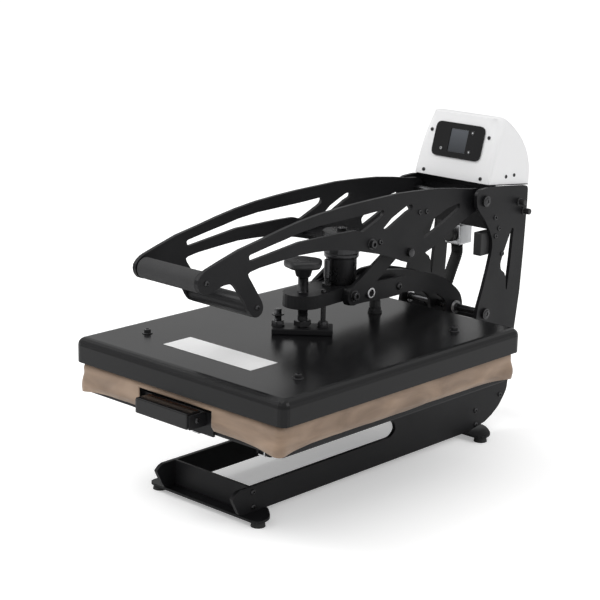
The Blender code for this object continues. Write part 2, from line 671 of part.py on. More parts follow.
# Drawer rails: channels on the forks, sliders and a folded carriage between them
rail_front_y = FORK_FRONT_Y
for sign, stem in ((1, "right"), (-1, "left")):
    outer_x = SIDE_INNER_X - CLEAR
    channel = [(outer_x - RAIL_WIDTH, RAIL_BOTTOM_Z), (outer_x, RAIL_BOTTOM_Z),
               (outer_x, RAIL_TOP_Z), (outer_x - RAIL_WIDTH, RAIL_TOP_Z),
               (outer_x - RAIL_WIDTH, RAIL_TOP_Z - RAIL_WALL),
               (outer_x - RAIL_WALL, RAIL_TOP_Z - RAIL_WALL),
               (outer_x - RAIL_WALL, RAIL_BOTTOM_Z + RAIL_WALL),
               (outer_x - RAIL_WIDTH, RAIL_BOTTOM_Z + RAIL_WALL)]
    length = RAIL_REAR_Y - rail_front_y
    middle_y = (RAIL_REAR_Y + rail_front_y) / 2
    data = flat_curve("rail_channel_" + stem, [[(sign * x, z) for x, z in channel]], length)
    place("rail_channel_" + stem, data, FRAME, ZINC, (0.0, middle_y, 0.0), (math.pi / 2, 0.0, 0.0))

slider_rear_y = RAIL_REAR_Y - CARRIAGE_REAR_GAP
carriage_half = SIDE_INNER_X - CLEAR - RAIL_WIDTH - RAIL_PLAY
carriage_low = RAIL_BOTTOM_Z + RAIL_WALL
fold = [(-carriage_half, carriage_low), (-carriage_half + CARRIAGE_THICKNESS, carriage_low),
        (-carriage_half + CARRIAGE_THICKNESS, CARRIAGE_TOP_Z - CARRIAGE_THICKNESS),
        (carriage_half - CARRIAGE_THICKNESS, CARRIAGE_TOP_Z - CARRIAGE_THICKNESS),
        (carriage_half - CARRIAGE_THICKNESS, carriage_low), (carriage_half, carriage_low),
        (carriage_half, CARRIAGE_TOP_Z), (-carriage_half, CARRIAGE_TOP_Z)]
carriage_length = slider_rear_y - rail_front_y
data = flat_curve("drawer_carriage", [fold], carriage_length)
carriage = as_mesh(place("drawer_carriage", data, DRAWER, BLACK_PAINT,
                         (0.0, (slider_rear_y + rail_front_y) / 2, 0.0), (math.pi / 2, 0.0, 0.0)))
# The carriage's runners reach into the channels, and its spacers carry the platen
for sign in (1, -1):
    span = sorted((sign * (carriage_half - CARRIAGE_THICKNESS / 2),
                   sign * (SIDE_INNER_X - CLEAR - RAIL_WALL - RAIL_PLAY)))
    runner = box("runner_shape", (span[0], rail_front_y + CARRIAGE_THICKNESS,
                                  RAIL_BOTTOM_Z + RAIL_WALL + RAIL_PLAY),
                 (span[1], slider_rear_y - CARRIAGE_THICKNESS, RAIL_TOP_Z - RAIL_WALL - RAIL_PLAY),
                 DRAWER, ZINC)
    join(carriage, runner)
spacer_x = carriage_half - 2 * SPACER_RADIUS
spacer_low = CARRIAGE_TOP_Z - CARRIAGE_THICKNESS / 2
spacer_high = LOWER_BOTTOM_Z - CLEAR
for x in (-spacer_x, spacer_x):
    for y in (rail_front_y + 2 * SPACER_RADIUS, slider_rear_y - 2 * SPACER_RADIUS):
        spacer = cylinder("spacer_shape", "Z", (x, y, (spacer_low + spacer_high) / 2),
                          SPACER_RADIUS, spacer_high - spacer_low, DRAWER, ZINC, SMALL_SIDES)
        join(carriage, spacer)

# Lower platen, silicone pad and the brown sheet wrapped over both
half_x = PLATEN_WIDTH / 2
half_y = PLATEN_DEPTH / 2
box("lower_platen", (-half_x, -half_y, LOWER_BOTTOM_Z), (half_x, half_y, LOWER_TOP_Z), DRAWER,
    ALUMINIUM, PULL_WALL)
box("silicone_pad", (-half_x, -half_y, LOWER_TOP_Z + CLEAR), (half_x, half_y, PAD_TOP_Z), DRAWER,
    SILICONE, WRAP_THICKNESS)


def wrap_ring(grow, corner, height_of, flare):
    """One loop of the sheet round the platen, with the same number of points each time."""
    x = half_x + WRAP_SIDE_ROOM + WRAP_THICKNESS + grow
    front = half_y + WRAP_FRONT_ROOM + WRAP_THICKNESS + grow
    loop = []
    for cx, cy, start in ((x, front, 0.0), (-x, front, 90.0), (-x, -front, 180.0), (x, -front, 270.0)):
        centre = Vector((math.copysign(abs(cx) - corner, cx), math.copysign(abs(cy) - corner, cy)))
        for step in range(WRAP_CORNER_STEPS + 1):
            angle = math.radians(start + 90.0 * step / WRAP_CORNER_STEPS)
            out = Vector((math.cos(angle), math.sin(angle)))
            at_corner = math.sin(math.pi * step / WRAP_CORNER_STEPS)
            spot = centre + out * (corner + flare * at_corner)
            loop.append((spot, at_corner))
        nxt = {0.0: (-1, 0), 90.0: (0, -1), 180.0: (1, 0), 270.0: (0, 1)}[start]
        run = (2 * x if nxt[0] else 2 * front) - 2 * corner
        base = centre + Vector((math.cos(math.radians(start + 90.0)),
                                math.sin(math.radians(start + 90.0)))) * corner
        for step in range(1, WRAP_SIDE_STEPS):
            along = run * step / WRAP_SIDE_STEPS
            ripple = flare * WRAP_RIPPLE / WRAP_FLARE * math.sin(2.4 * step)
            out = Vector((math.cos(math.radians(start + 90.0)), math.sin(math.radians(start + 90.0))))
            loop.append((base + Vector(nxt) * along + out * ripple, 0.0))
    return [(spot[0], spot[1], height_of(index, at)) for index, (spot, at) in enumerate(loop)]


def wrap_hem(index, at_corner):
    """The hem hangs lower at the corners and wavers a little between them."""
    return WRAP_TOP_Z - WRAP_DROP - WRAP_CORNER_DROP * at_corner + WRAP_RIPPLE * math.sin(1.7 * index)


wrap_mesh = bpy.data.meshes.new("wrap_sheet")
sheet = bmesh.new()
loops = []
for grow, corner, heights, flare in (
        (-WRAP_SIDE_ROOM, WRAP_CORNER_RADIUS / 2, lambda i, a: WRAP_TOP_Z, 0.0),
        (0.0, WRAP_CORNER_RADIUS, lambda i, a: WRAP_TOP_Z - WRAP_THICKNESS * 2, 0.0),
        (0.0, WRAP_CORNER_RADIUS, lambda i, a: WRAP_TOP_Z - WRAP_DROP / 2, WRAP_FLARE / 2),
        (0.0, WRAP_CORNER_RADIUS, wrap_hem, WRAP_FLARE)):
    loops.append([sheet.verts.new(p) for p in wrap_ring(grow, corner, heights, flare)])
sheet.faces.new(loops[0])
for upper, lower in zip(loops, loops[1:]):
    for i in range(len(upper)):
        j = (i + 1) % len(upper)
        sheet.faces.new((upper[i], lower[i], lower[j], upper[j]))
bmesh.ops.recalc_face_normals(sheet, faces=sheet.faces)
sheet.to_mesh(wrap_mesh)
sheet.free()
wrap = place("wrap_sheet", wrap_mesh, DRAWER, BROWN_SHEET, (0.0, 0.0, 0.0))
wall = wrap.modifiers.new("cloth", "SOLIDIFY")
wall.thickness = WRAP_THICKNESS
wall.offset = -1.0

# Drawer handle: a folded pull with end caps on a bracket under the lower platen
pull_back_y = PULL_FRONT_Y + PULL_DEPTH
pull_top_z = WRAP_TOP_Z - PULL_TOP_DROP
pull_low_z = pull_top_z - PULL_HEIGHT
pull = box("drawer_handle", (-PULL_HALF_WIDTH, PULL_FRONT_Y, pull_low_z),
           (PULL_HALF_WIDTH, pull_back_y - CLEAR, pull_top_z), DRAWER, GLOSS_BLACK, PULL_WALL / 2)
pull_room = box("pull_room", (-PULL_HALF_WIDTH - OVERRUN, PULL_FRONT_Y + PULL_WALL,
                              pull_low_z - OVERRUN),
                (PULL_HALF_WIDTH + OVERRUN, pull_back_y + OVERRUN, pull_top_z - PULL_WALL), DRAWER,
                GLOSS_BLACK)
cut(pull, pull_room)
bracket_y = -half_y - PULL_BRACKET_THICKNESS - CLEAR
notch = box("wrap_notch", (-PULL_BRACKET_HALF_WIDTH - PULL_NOTCH_ROOM, PULL_FRONT_Y,
                           pull_low_z - 2 * WRAP_DROP),
            (PULL_BRACKET_HALF_WIDTH + PULL_NOTCH_ROOM, -half_y - PULL_BRACKET_THICKNESS,
             pull_top_z + PULL_NOTCH_ROOM), DRAWER, BROWN_SHEET, 2 * PULL_NOTCH_ROOM, 3)
cut(wrap, notch)
bracket_top = pull_top_z - PULL_WALL - CLEAR
bracket = box("handle_bracket", (-PULL_BRACKET_HALF_WIDTH, bracket_y,
                                 bracket_top - PULL_BRACKET_HEIGHT),
              (PULL_BRACKET_HALF_WIDTH, -half_y - CLEAR, bracket_top), DRAWER, BLACK_PAINT)
for sign in (1, -1):
    near = PULL_HALF_WIDTH + CLEAR
    span = sorted((sign * near, sign * (near + PULL_WALL)))
    end_cap = box("end_cap_shape", (span[0], PULL_FRONT_Y + PULL_WALL, pull_low_z),
                  (span[1], bracket_y + PULL_BRACKET_THICKNESS / 2, bracket_top - CLEAR), DRAWER,
                  BLACK_PLASTIC)
    join(bracket, end_cap)

# Heated platen: aluminium plate, element laid on it, felt and the sheet-metal cover
cover_x = half_x + COVER_MARGIN
cover_y = half_y + COVER_MARGIN
cover_mesh = bpy.data.meshes.new("platen_cover")
shell = bmesh.new()
bmesh.ops.create_cube(shell, size=1.0, matrix=Matrix.Diagonal(
    (2 * cover_x, 2 * cover_y, COVER_HEIGHT, 1.0)))
soft_edges = [e for e in shell.edges if max(v.co.z for v in e.verts) > 0]
bmesh.ops.bevel(shell, geom=soft_edges, offset=COVER_EDGE_RADIUS, segments=4, profile=0.5,
                affect="EDGES")
low_faces = [f for f in shell.faces if f.normal.z < -0.9]
bmesh.ops.delete(shell, geom=low_faces, context="FACES")
shell.to_mesh(cover_mesh)
shell.free()
smooth_shade(cover_mesh)
cover = place("platen_cover", cover_mesh, LIFT, GLOSS_BLACK,
              (0.0, 0.0, (COVER_BOTTOM_Z + COVER_TOP_Z) / 2))
wall = cover.modifiers.new("sheet", "SOLIDIFY")
wall.thickness = COVER_WALL
wall.offset = -1.0
box("heat_platen", (-half_x, -half_y, HEAT_BOTTOM_Z), (half_x, half_y, HEAT_TOP_Z), LIFT, ALUMINIUM,
    COVER_WALL)
element_z = HEAT_TOP_Z + CLEAR + ELEMENT_RADIUS
element_x = half_x - COVER_MARGIN
element_y = half_y - COVER_MARGIN
route = []
for run in range(ELEMENT_RUNS):
    y = -element_y + 2 * element_y * run / (ELEMENT_RUNS - 1)
    ends = (-element_x, element_x) if run % 2 == 0 else (element_x, -element_x)
    route += [(ends[0], y, element_z), (0.0, y, element_z), (ends[1], y, element_z)]
tube("heating_element", route, ELEMENT_RADIUS, LIFT, BLACK_STEEL, 1, 2)
felt_z = element_z + ELEMENT_RADIUS + CLEAR
box("insulation_felt", (-element_x, -element_y, felt_z),
    (element_x, element_y, COVER_TOP_Z - COVER_WALL - CLEAR), LIFT, FELT)

# Pressure bar, clamping stud and guide rod
along = Vector((math.cos(BAR_TURN), math.sin(BAR_TURN), 0.0))
bar = box("pressure_bar", (-BAR_LENGTH / 2, -BAR_DEPTH / 2, BAR_BOTTOM_Z),
          (BAR_LENGTH / 2, BAR_DEPTH / 2, BAR_TOP_Z), LIFT, BLACK_PAINT, COVER_WALL)
bar.rotation_euler = (0.0, 0.0, BAR_TURN)
stud_spot = Vector((0.0, 0.0, BAR_TOP_Z + CLEAR)) - along * STUD_OFFSET
stud_room = HEAD_BOTTOM_Z - BAR_TOP_Z - SCREW_STROKE - 2 * CLEAR
STUD_SHAPE_SHARES = [(0.0, 1.0), (0.70, 1.0), (0.95, 0.94), (0.95, 0.72), (1.45, 0.70), (1.45, 0.65),
                     (0.95, 0.62), (0.85, 0.50), (1.0, 0.46), (1.15, 0.42), (1.15, 0.08), (1.7, 0.08),
                     (1.7, 0.0), (0.0, 0.0)]
turned("clamping_stud", [(STUD_RADIUS * r, stud_room * h) for r, h in STUD_SHAPE_SHARES], stud_spot,
       LIFT, BLACK_STEEL, steps=SMALL_SIDES)
rod_spot = Vector((0.0, 0.0, BAR_TOP_Z + CLEAR)) + along * ROD_OFFSET
rod_top = HEAD_TOP_Z - BAR_TOP_Z + BOLT_HEAD_HEIGHT
turned("guide_rod", [(0.0, rod_top), (ROD_RADIUS, rod_top), (ROD_RADIUS, SCREW_NUT_HEIGHT),
                     (2 * ROD_RADIUS, SCREW_NUT_HEIGHT), (2 * ROD_RADIUS, 0.0), (0.0, 0.0)],
       rod_spot, LIFT, ZINC, steps=SMALL_SIDES)

# Cable gland in the cover and the cable that runs back inside the arm
gland_y = side(GLAND_SHARE)[0]
GLAND_SHAPE_SHARES = [(0.0, 1.0), (0.72, 1.0), (0.90, 0.90), (0.90, 0.60), (1.0, 0.58), (1.0, 0.24),
                      (1.28, 0.22), (1.28, 0.0), (0.0, 0.0)]
turned("cable_gland", [(GLAND_RADIUS * r, GLAND_HEIGHT * h) for r, h in GLAND_SHAPE_SHARES],
       (0.0, gland_y, BAR_BOTTOM_Z), LIFT, BLACK_PLASTIC)

# Platen arm: cast head, two arched plates and cheeks for the links
head_rear_y = side(HEAD_REAR_SHARE)[0]
head_outline = [(HEAD_RADIUS * math.cos(math.radians(a)), HEAD_RADIUS * math.sin(math.radians(a)))
                for a in range(180, 361, 12)]
tongue_x = ARM_OUTER_X - PLATE_THICKNESS - CLEAR
head_narrow_y = side(HEAD_NARROW_SHARE)[0]
head_outline += [(HEAD_BACK_HALF_WIDTH, head_narrow_y), (HEAD_BACK_HALF_WIDTH, head_rear_y),
                 (tongue_x, head_rear_y),
                 (tongue_x, head_rear_y + ARM_TONGUE_LENGTH),
                 (-tongue_x, head_rear_y + ARM_TONGUE_LENGTH), (-tongue_x, head_rear_y),
                 (-HEAD_BACK_HALF_WIDTH, head_rear_y), (-HEAD_BACK_HALF_WIDTH, head_narrow_y)]
rod_flat = along * ROD_OFFSET
head_holes = [ring((0.0, 0.0), SCREW_RADIUS + SHAFT_PLAY, ROUND_SIDES),
              ring((rod_flat[0], rod_flat[1]), ROD_RADIUS + SHAFT_PLAY, SMALL_SIDES)]
head_loops = [[(x, y - ARM_SHAFT[0]) for x, y in loop] for loop in [head_outline, *head_holes]]
data = flat_curve("arm_head", head_loops, HEAD_THICKNESS)
place("arm_head", data, ARM, BLACK_PAINT, (0.0, ARM_SHAFT[0], (HEAD_BOTTOM_Z + HEAD_TOP_Z) / 2))

arm_outline = soften([side(s) for s in ARM_PLATE_SHARES], CORNER_CUT)
plate_pair("arm_plate", arm_outline,
           [ring(ARM_SHAFT, HOLE, ROUND_SIDES)],
           ARM_OUTER_X - PLATE_THICKNESS / 2, PLATE_THICKNESS, ARM, BLACK_PAINT)
cheek_low_x = HEAD_BACK_HALF_WIDTH + CLEAR
cheek_outline = soften([side(s) for s in CHEEK_SHARES], CORNER_CUT)
plate_pair("link_cheek", cheek_outline, [],
           cheek_low_x + CHEEK_THICKNESS / 2, CHEEK_THICKNESS, ARM, BLACK_PAINT)
# Holding magnet on the head with its stop pillar
magnet_y = side(MAGNET_SHARE)[0]
turned("holding_magnet", [(0.0, MAGNET_HEIGHT + MAGNET_CAP_HEIGHT),
                          (MAGNET_CAP_RADIUS, MAGNET_HEIGHT + MAGNET_CAP_HEIGHT),
                          (MAGNET_CAP_RADIUS, MAGNET_HEIGHT), (MAGNET_RADIUS, MAGNET_HEIGHT),
                          (MAGNET_RADIUS, 0.0), (0.0, 0.0)],
       (0.0, magnet_y, HEAD_TOP_Z + CLEAR), ARM, BLACK_STEEL)
pillar_y = side(PILLAR_SHARE)[0]
cylinder("stop_pillar", "Z", (0.0, pillar_y, HEAD_TOP_Z + CLEAR + MAGNET_HEIGHT / 2), PILLAR_RADIUS,
         MAGNET_HEIGHT, ARM, ZINC, SMALL_SIDES)

# Pressure screw with its nut, and the knob
screw_length = HEAD_TOP_Z + SCREW_RISE + KNOB_HUB_HEIGHT + KNOB_HEIGHT - SCREW_FOOT - BAR_TOP_Z
turned("pressure_screw", [(0.0, screw_length), (SCREW_RADIUS, screw_length),
                          (SCREW_RADIUS, SCREW_NUT_HEIGHT + SCREW_FOOT),
                          (SCREW_NUT_RADIUS, SCREW_NUT_HEIGHT + SCREW_FOOT),
                          (SCREW_NUT_RADIUS, SCREW_FOOT), (SCREW_RADIUS, SCREW_FOOT),
                          (SCREW_RADIUS, 0.0), (0.0, 0.0)],
       (0.0, 0.0, BAR_TOP_Z + CLEAR), SCREW, BLACK_STEEL)
knob_z = HEAD_TOP_Z + SCREW_RISE
knob_loop = []
for step in range(KNOB_LOBES * 8):
    angle = 2 * math.pi * step / (KNOB_LOBES * 8)
    reach = KNOB_RADIUS * (1.0 + KNOB_LOBE_SHARE * math.cos(KNOB_LOBES * angle))
    reach /= 1.0 + KNOB_LOBE_SHARE
    knob_loop.append((reach * math.cos(angle), reach * math.sin(angle)))
KNOB_BORE = SCREW_RADIUS + CLEAR
data = flat_curve("pressure_knob", [knob_loop, ring((0.0, 0.0), KNOB_BORE, ROUND_SIDES)],
                  KNOB_HEIGHT)
knob = as_mesh(place("pressure_knob", data, SCREW, BLACK_PLASTIC,
                     (0.0, 0.0, knob_z + KNOB_HUB_HEIGHT + KNOB_HEIGHT / 2)))
smooth_shade(knob.data)
hub_top = KNOB_HUB_HEIGHT + KNOB_HEIGHT / 2
hub = turned("knob_hub_shape", [(KNOB_BORE, hub_top), (KNOB_HUB_RADIUS, hub_top),
                                (KNOB_HUB_RADIUS, KNOB_HUB_HEIGHT),
                                (KNOB_HUB_RADIUS * KNOB_TAPER_SHARE, 0.0), (KNOB_BORE, 0.0),
                                (KNOB_BORE, hub_top)], (0.0, 0.0, knob_z), SCREW, BLACK_PLASTIC)
join(knob, hub)

# Handle: two cut-out arms, grip, cross tube, strike bar and armature
handle_outline = soften([side(s) for s in HANDLE_SHARES], CORNER_CUT, 2)
handle_slots = [soften([side(s) for s in loop], CORNER_CUT / 2, 2) for loop in HANDLE_SLOT_SHARES]
handle_middle_x = HANDLE_OUTER_X - PLATE_THICKNESS / 2
plate_pair("handle_arm", handle_outline,
           [*handle_slots, ring(HINGE, HOLE, ROUND_SIDES), ring(LINK_TOP, PIN_HOLE)],
           handle_middle_x, PLATE_THICKNESS, HANDLE, BLACK_PAINT)
inside = 2 * (HANDLE_INNER_X - CLEAR)
grip = side(GRIP_SHARE)
cylinder("grip_sleeve", "X", (0.0, *grip), GRIP_RADIUS, inside, HANDLE, RUBBER)
cross_tube = side(CROSS_TUBE_SHARE)
cylinder("handle_cross_tube", "X", (0.0, *cross_tube), CROSS_TUBE_RADIUS, inside, HANDLE,
         BLACK_PAINT)
strike = side(STRIKE_SHARE)
half_inside = HANDLE_INNER_X - CLEAR
bar = box("strike_bar", (-half_inside, strike[0] - STRIKE_BAR_DEPTH / 2, strike[1]),
          (half_inside, strike[0] + STRIKE_BAR_DEPTH / 2, strike[1] + STRIKE_BAR_THICKNESS), HANDLE,
          BLACK_PAINT, COVER_WALL)
bar_hole = cylinder("strike_bar_hole", "Z", (0.0, *strike), STRIKE_BOLT_RADIUS + SHAFT_PLAY,
                    2 * STRIKE_BAR_THICKNESS + OVERRUN, HANDLE, BLACK_PAINT)
cut(bar, bar_hole)
strike_low_z = HEAD_TOP_Z + 2 * CLEAR + MAGNET_HEIGHT + MAGNET_CAP_HEIGHT
strike_top = strike[1] - CLEAR - strike_low_z
armature_low = strike_top + STRIKE_BAR_THICKNESS + 2 * CLEAR
armature_top = armature_low + ARMATURE_THICKNESS
turned("strike_disc", [(0.0, armature_top), (ARMATURE_RADIUS, armature_top),
                       (ARMATURE_RADIUS, armature_low), (STRIKE_BOLT_RADIUS, armature_low),
                       (STRIKE_BOLT_RADIUS, strike_top), (STRIKE_RADIUS, strike_top),
                       (STRIKE_RADIUS, 0.0), (0.0, 0.0)], (0.0, strike[0], strike_low_z), HANDLE,
       ZINC)

# Toggle links: upper pin through handle arm and link, lower end beside the cheek
pin_in = LINK_INNER_X + CLEAR
pin_out = HANDLE_OUTER_X + BOLT_HEAD_HEIGHT
for sign, stem in ((1, "right"), (-1, "left")):
    pin = rounds("link_pin_" + stem, [("X", (sign * (pin_in + pin_out) / 2, *LINK_TOP), PIN_RADIUS,
                                       PIN_RADIUS, pin_out - pin_in, SMALL_SIDES)], HANDLE, ZINC)
line = Vector(LINK_TOP) - Vector(LINK_FOOT)
across = Vector((-line[1], line[0])).normalized()
link_loop = []
for step in range(9):
    angle = math.atan2(line[1], line[0]) + math.pi / 2 + math.pi * step / 8
    out = Vector((math.cos(angle), math.sin(angle)))
    link_loop.append(Vector(LINK_FOOT) + out * LINK_FOOT_WIDTH / 2)
for step in range(9):
    angle = math.atan2(line[1], line[0]) - math.pi / 2 + math.pi * step / 8
    out = Vector((math.cos(angle), math.sin(angle)))
    link_loop.append(Vector(LINK_TOP) + out * LINK_TOP_WIDTH / 2)
plate_pair("toggle_link", link_loop, [ring(LINK_TOP, PIN_HOLE)],
           LINK_OUTER_X - PLATE_THICKNESS / 2, PLATE_THICKNESS, LINK, BLACK_PAINT)
# Control housing: a moulded shell lofted through its levels
face_foot = side(HOUSING_FACE_SHARE)
face_head = side(HOUSING_FACE_TOP_SHARE)
face_up = (face_head - face_foot).normalized()
face_lean = math.atan2(face_up[0], face_up[1])


def face_depth(height):
    """How far back the leaning front face is at a height."""
    return face_foot[0] + (height - face_foot[1]) * math.tan(face_lean)


def rounded_level(front, rear, half, corner, heights):
    """One level of the housing, a rectangle with round corners."""
    loop = []
    for sign_x, sign_y, start in ((1, 1, 0.0), (-1, 1, 90.0), (-1, -1, 180.0), (1, -1, 270.0)):
        y = rear if sign_y > 0 else front
        centre = (sign_x * (half - corner), y - sign_y * corner)
        for step in range(5):
            angle = math.radians(start + 22.5 * step)
            x = centre[0] + corner * math.cos(angle)
            depth = centre[1] + corner * math.sin(angle)
            loop.append((x, depth, heights(depth)))
    return loop


bottom_front = side(HOUSING_FRONT_SHARE) + Vector((0.0, CLEAR))
bottom_rear = side(HOUSING_REAR_SHARE) + Vector((0.0, CLEAR))
bottom_slope = (bottom_rear[1] - bottom_front[1]) / (bottom_rear[0] - bottom_front[0])


def bottom_height(depth):
    """The housing's lower rim follows the sloping tops of the uprights."""
    return bottom_front[1] + (depth - bottom_front[0]) * bottom_slope


first_corner = HOUSING_HALF_WIDTH * HOUSING_LEVEL_SHARES[0][3]
levels = [rounded_level(face_depth(bottom_front[1]), bottom_rear[0], HOUSING_HALF_WIDTH,
                        first_corner, bottom_height)]
for height_share, rear_share, half_share, corner_share in HOUSING_LEVEL_SHARES:
    rear, height = side((rear_share, height_share))
    levels.append(rounded_level(face_depth(height), rear, HOUSING_HALF_WIDTH * half_share,
                                HOUSING_HALF_WIDTH * corner_share, lambda depth, h=height: h))
house_mesh = bpy.data.meshes.new("control_housing")
moulding = bmesh.new()
rings = [[moulding.verts.new(p) for p in loop] for loop in levels]
for lower, upper in zip(rings, rings[1:]):
    for i in range(len(lower)):
        j = (i + 1) % len(lower)
        moulding.faces.new((lower[i], lower[j], upper[j], upper[i]))
moulding.faces.new(rings[-1])
bmesh.ops.recalc_face_normals(moulding, faces=moulding.faces)
moulding.to_mesh(house_mesh)
moulding.free()
smooth_shade(house_mesh)
house = place("control_housing", house_mesh, FRAME, WHITE_PAINT, (0.0, 0.0, 0.0))
wall = house.modifiers.new("moulded_wall", "SOLIDIFY")
wall.thickness = HOUSING_WALL
wall.offset = -1.0

# Display: bezel, screen and buttons seated on the leaning face
FACE_TURN = (math.pi / 2 - face_lean, 0.0, 0.0)
face_out = Vector((0.0, -math.cos(face_lean), math.sin(face_lean)))
face_rise = Vector((0.0, face_up[0], face_up[1]))
face_zero = Vector((0.0, face_foot[0], face_foot[1]))


def on_face(x, rise, out):
    """A place on the leaning front face: across, up along it and out from it."""
    return face_zero + Vector((x, 0.0, 0.0)) + face_rise * rise + face_out * out


bezel_loop = soften([(-BEZEL_WIDTH / 2, -BEZEL_HEIGHT / 2), (BEZEL_WIDTH / 2, -BEZEL_HEIGHT / 2),
                     (BEZEL_WIDTH / 2, BEZEL_HEIGHT / 2), (-BEZEL_WIDTH / 2, BEZEL_HEIGHT / 2)],
                    BEZEL_CORNER_RADIUS, 4)
buttons = {"button_up": (BUTTON_RIGHT_X, BUTTON_RISE), "button_down": (BUTTON_RIGHT_X, -BUTTON_RISE),
           "button_set": (-BUTTON_LEFT_X, -BUTTON_RISE)}
button_holes = [ring(spot, BUTTON_RADIUS + BUTTON_PLAY, 16) for spot in buttons.values()]
screen_hole = [(-SCREEN_WIDTH / 2 - CLEAR, -SCREEN_HEIGHT / 2 - CLEAR),
               (SCREEN_WIDTH / 2 + CLEAR, -SCREEN_HEIGHT / 2 - CLEAR),
               (SCREEN_WIDTH / 2 + CLEAR, SCREEN_HEIGHT / 2 + CLEAR),
               (-SCREEN_WIDTH / 2 - CLEAR, SCREEN_HEIGHT / 2 + CLEAR)]
data = flat_curve("display_bezel", [bezel_loop, screen_hole, *button_holes], BEZEL_THICKNESS)
place("display_bezel", data, FRAME, GLOSS_BLACK,
      on_face(0.0, BEZEL_RISE, CLEAR + BEZEL_THICKNESS / 2), FACE_TURN)
screen = box("display_screen", (-SCREEN_WIDTH / 2, -SCREEN_HEIGHT / 2, -SCREEN_THICKNESS / 2),
             (SCREEN_WIDTH / 2, SCREEN_HEIGHT / 2, SCREEN_THICKNESS / 2), FRAME, SCREEN)
screen.location = on_face(0.0, BEZEL_RISE, CLEAR + SCREEN_THICKNESS / 2)
screen.rotation_euler = FACE_TURN
BUTTON_DEPTH = BEZEL_THICKNESS - BUTTON_TRAVEL + BUTTON_PROUD - CLEAR
for stem, (x, rise) in buttons.items():
    spot = on_face(x, BEZEL_RISE + rise, 2 * CLEAR + BUTTON_TRAVEL)
    axis_point(stem + "_slide", spot, FRAME)
    turned(stem, [(0.0, BUTTON_DEPTH), (BUTTON_RADIUS - CLEAR, BUTTON_DEPTH),
                  (BUTTON_RADIUS, BUTTON_DEPTH - CLEAR), (BUTTON_RADIUS, 0.0), (0.0, 0.0)], spot,
           stem + "_slide", BLACK_PLASTIC, FACE_TURN, 16)

board_out = -HOUSING_WALL - BOARD_GAP
board = box("control_board", (-BEZEL_WIDTH / 2, -BEZEL_HEIGHT / 2, -BOARD_THICKNESS / 2),
            (BEZEL_WIDTH / 2, BEZEL_HEIGHT / 2, BOARD_THICKNESS / 2), FRAME, BOARD_GREEN)
board.location = on_face(0.0, BEZEL_RISE, board_out)
board.rotation_euler = FACE_TURN


post_x = BEZEL_WIDTH / 2 - 2 * BOARD_POST_RADIUS
post_y = BEZEL_HEIGHT / 2 - 2 * BOARD_POST_RADIUS
post_length = BOARD_GAP - CLEAR
for x in (-post_x, post_x):
    for y in (-post_y, post_y):
        post = cylinder("board_post_shape", "Z", PIVOTS[FRAME], BOARD_POST_RADIUS, post_length, FRAME,
                        ZINC, TINY_SIDES)
        post.location = on_face(x, BEZEL_RISE + y, board_out + post_length / 2)
        post.rotation_euler = FACE_TURN
        join(board, post)

# Hose from the connector block down to the arm, and the cable inside the arm
fit_middle_y = (fit_low[0] + fit_high[0]) / 2
hose_end = Vector((0.0, ARM_SHAFT[0], ARM_SHAFT[1]))
HOSE_ROUTE = [
    Vector((0.0, fit_middle_y, fit_low[1] - 2 * CLEAR)),
    Vector((0.0, fit_middle_y, fit_low[1] - HOSE_DROP / 3)),
    Vector((0.0, fit_middle_y, fit_low[1] - HOSE_DROP)),
    hose_end + Vector((0.0, HOSE_SWING, HOSE_RISE)),
    hose_end + Vector((0.0, 0.0, HOSE_END_RISE))]
tube("supply_hose", HOSE_ROUTE, HOSE_RADIUS, FRAME, BLACK_PLASTIC, 2, 6)
CABLE_ROUTE = [
    Vector((0.0, gland_y, BAR_BOTTOM_Z + GLAND_HEIGHT + 2 * CLEAR)),
    Vector((0.0, gland_y, BAR_BOTTOM_Z + GLAND_HEIGHT + CABLE_BEND / 2)),
    Vector((0.0, gland_y + CABLE_BEND / 2, BAR_BOTTOM_Z + GLAND_HEIGHT + CABLE_BEND)),
    Vector((0.0, gland_y + 3 * CABLE_BEND, HEAD_BOTTOM_Z - CABLE_RADIUS)),
    Vector((0.0, ARM_SHAFT[0] - 4 * CABLE_BEND, ARM_SHAFT[1] + 3 * CABLE_BEND)),
    hose_end + Vector((0.0, -CABLE_BEND, HOSE_END_RISE - HOSE_RADIUS))]
tube("platen_cable", CABLE_ROUTE, CABLE_RADIUS, ARM, RUBBER, 2, 4)
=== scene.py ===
"""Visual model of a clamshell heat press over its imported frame."""

import json
import math

import bmesh
import bpy
from mathutils import Matrix, Vector, noise


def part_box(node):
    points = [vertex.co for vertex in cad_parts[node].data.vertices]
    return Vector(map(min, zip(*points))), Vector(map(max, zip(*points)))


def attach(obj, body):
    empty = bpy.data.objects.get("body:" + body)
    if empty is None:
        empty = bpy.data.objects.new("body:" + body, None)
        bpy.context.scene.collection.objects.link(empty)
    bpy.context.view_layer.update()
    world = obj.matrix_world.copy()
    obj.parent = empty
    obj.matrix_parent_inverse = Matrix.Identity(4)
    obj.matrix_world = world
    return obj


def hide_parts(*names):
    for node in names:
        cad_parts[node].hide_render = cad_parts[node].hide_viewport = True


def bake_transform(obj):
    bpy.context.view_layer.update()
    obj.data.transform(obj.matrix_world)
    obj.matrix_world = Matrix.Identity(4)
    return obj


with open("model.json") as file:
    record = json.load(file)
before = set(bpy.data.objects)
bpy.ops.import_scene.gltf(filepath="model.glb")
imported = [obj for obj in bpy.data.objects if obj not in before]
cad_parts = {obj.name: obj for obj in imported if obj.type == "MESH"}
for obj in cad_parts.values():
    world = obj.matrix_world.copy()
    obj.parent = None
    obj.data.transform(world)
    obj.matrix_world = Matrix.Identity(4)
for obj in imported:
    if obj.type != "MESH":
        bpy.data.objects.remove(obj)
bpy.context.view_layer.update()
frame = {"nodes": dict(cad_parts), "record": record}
NODES = frame["nodes"]

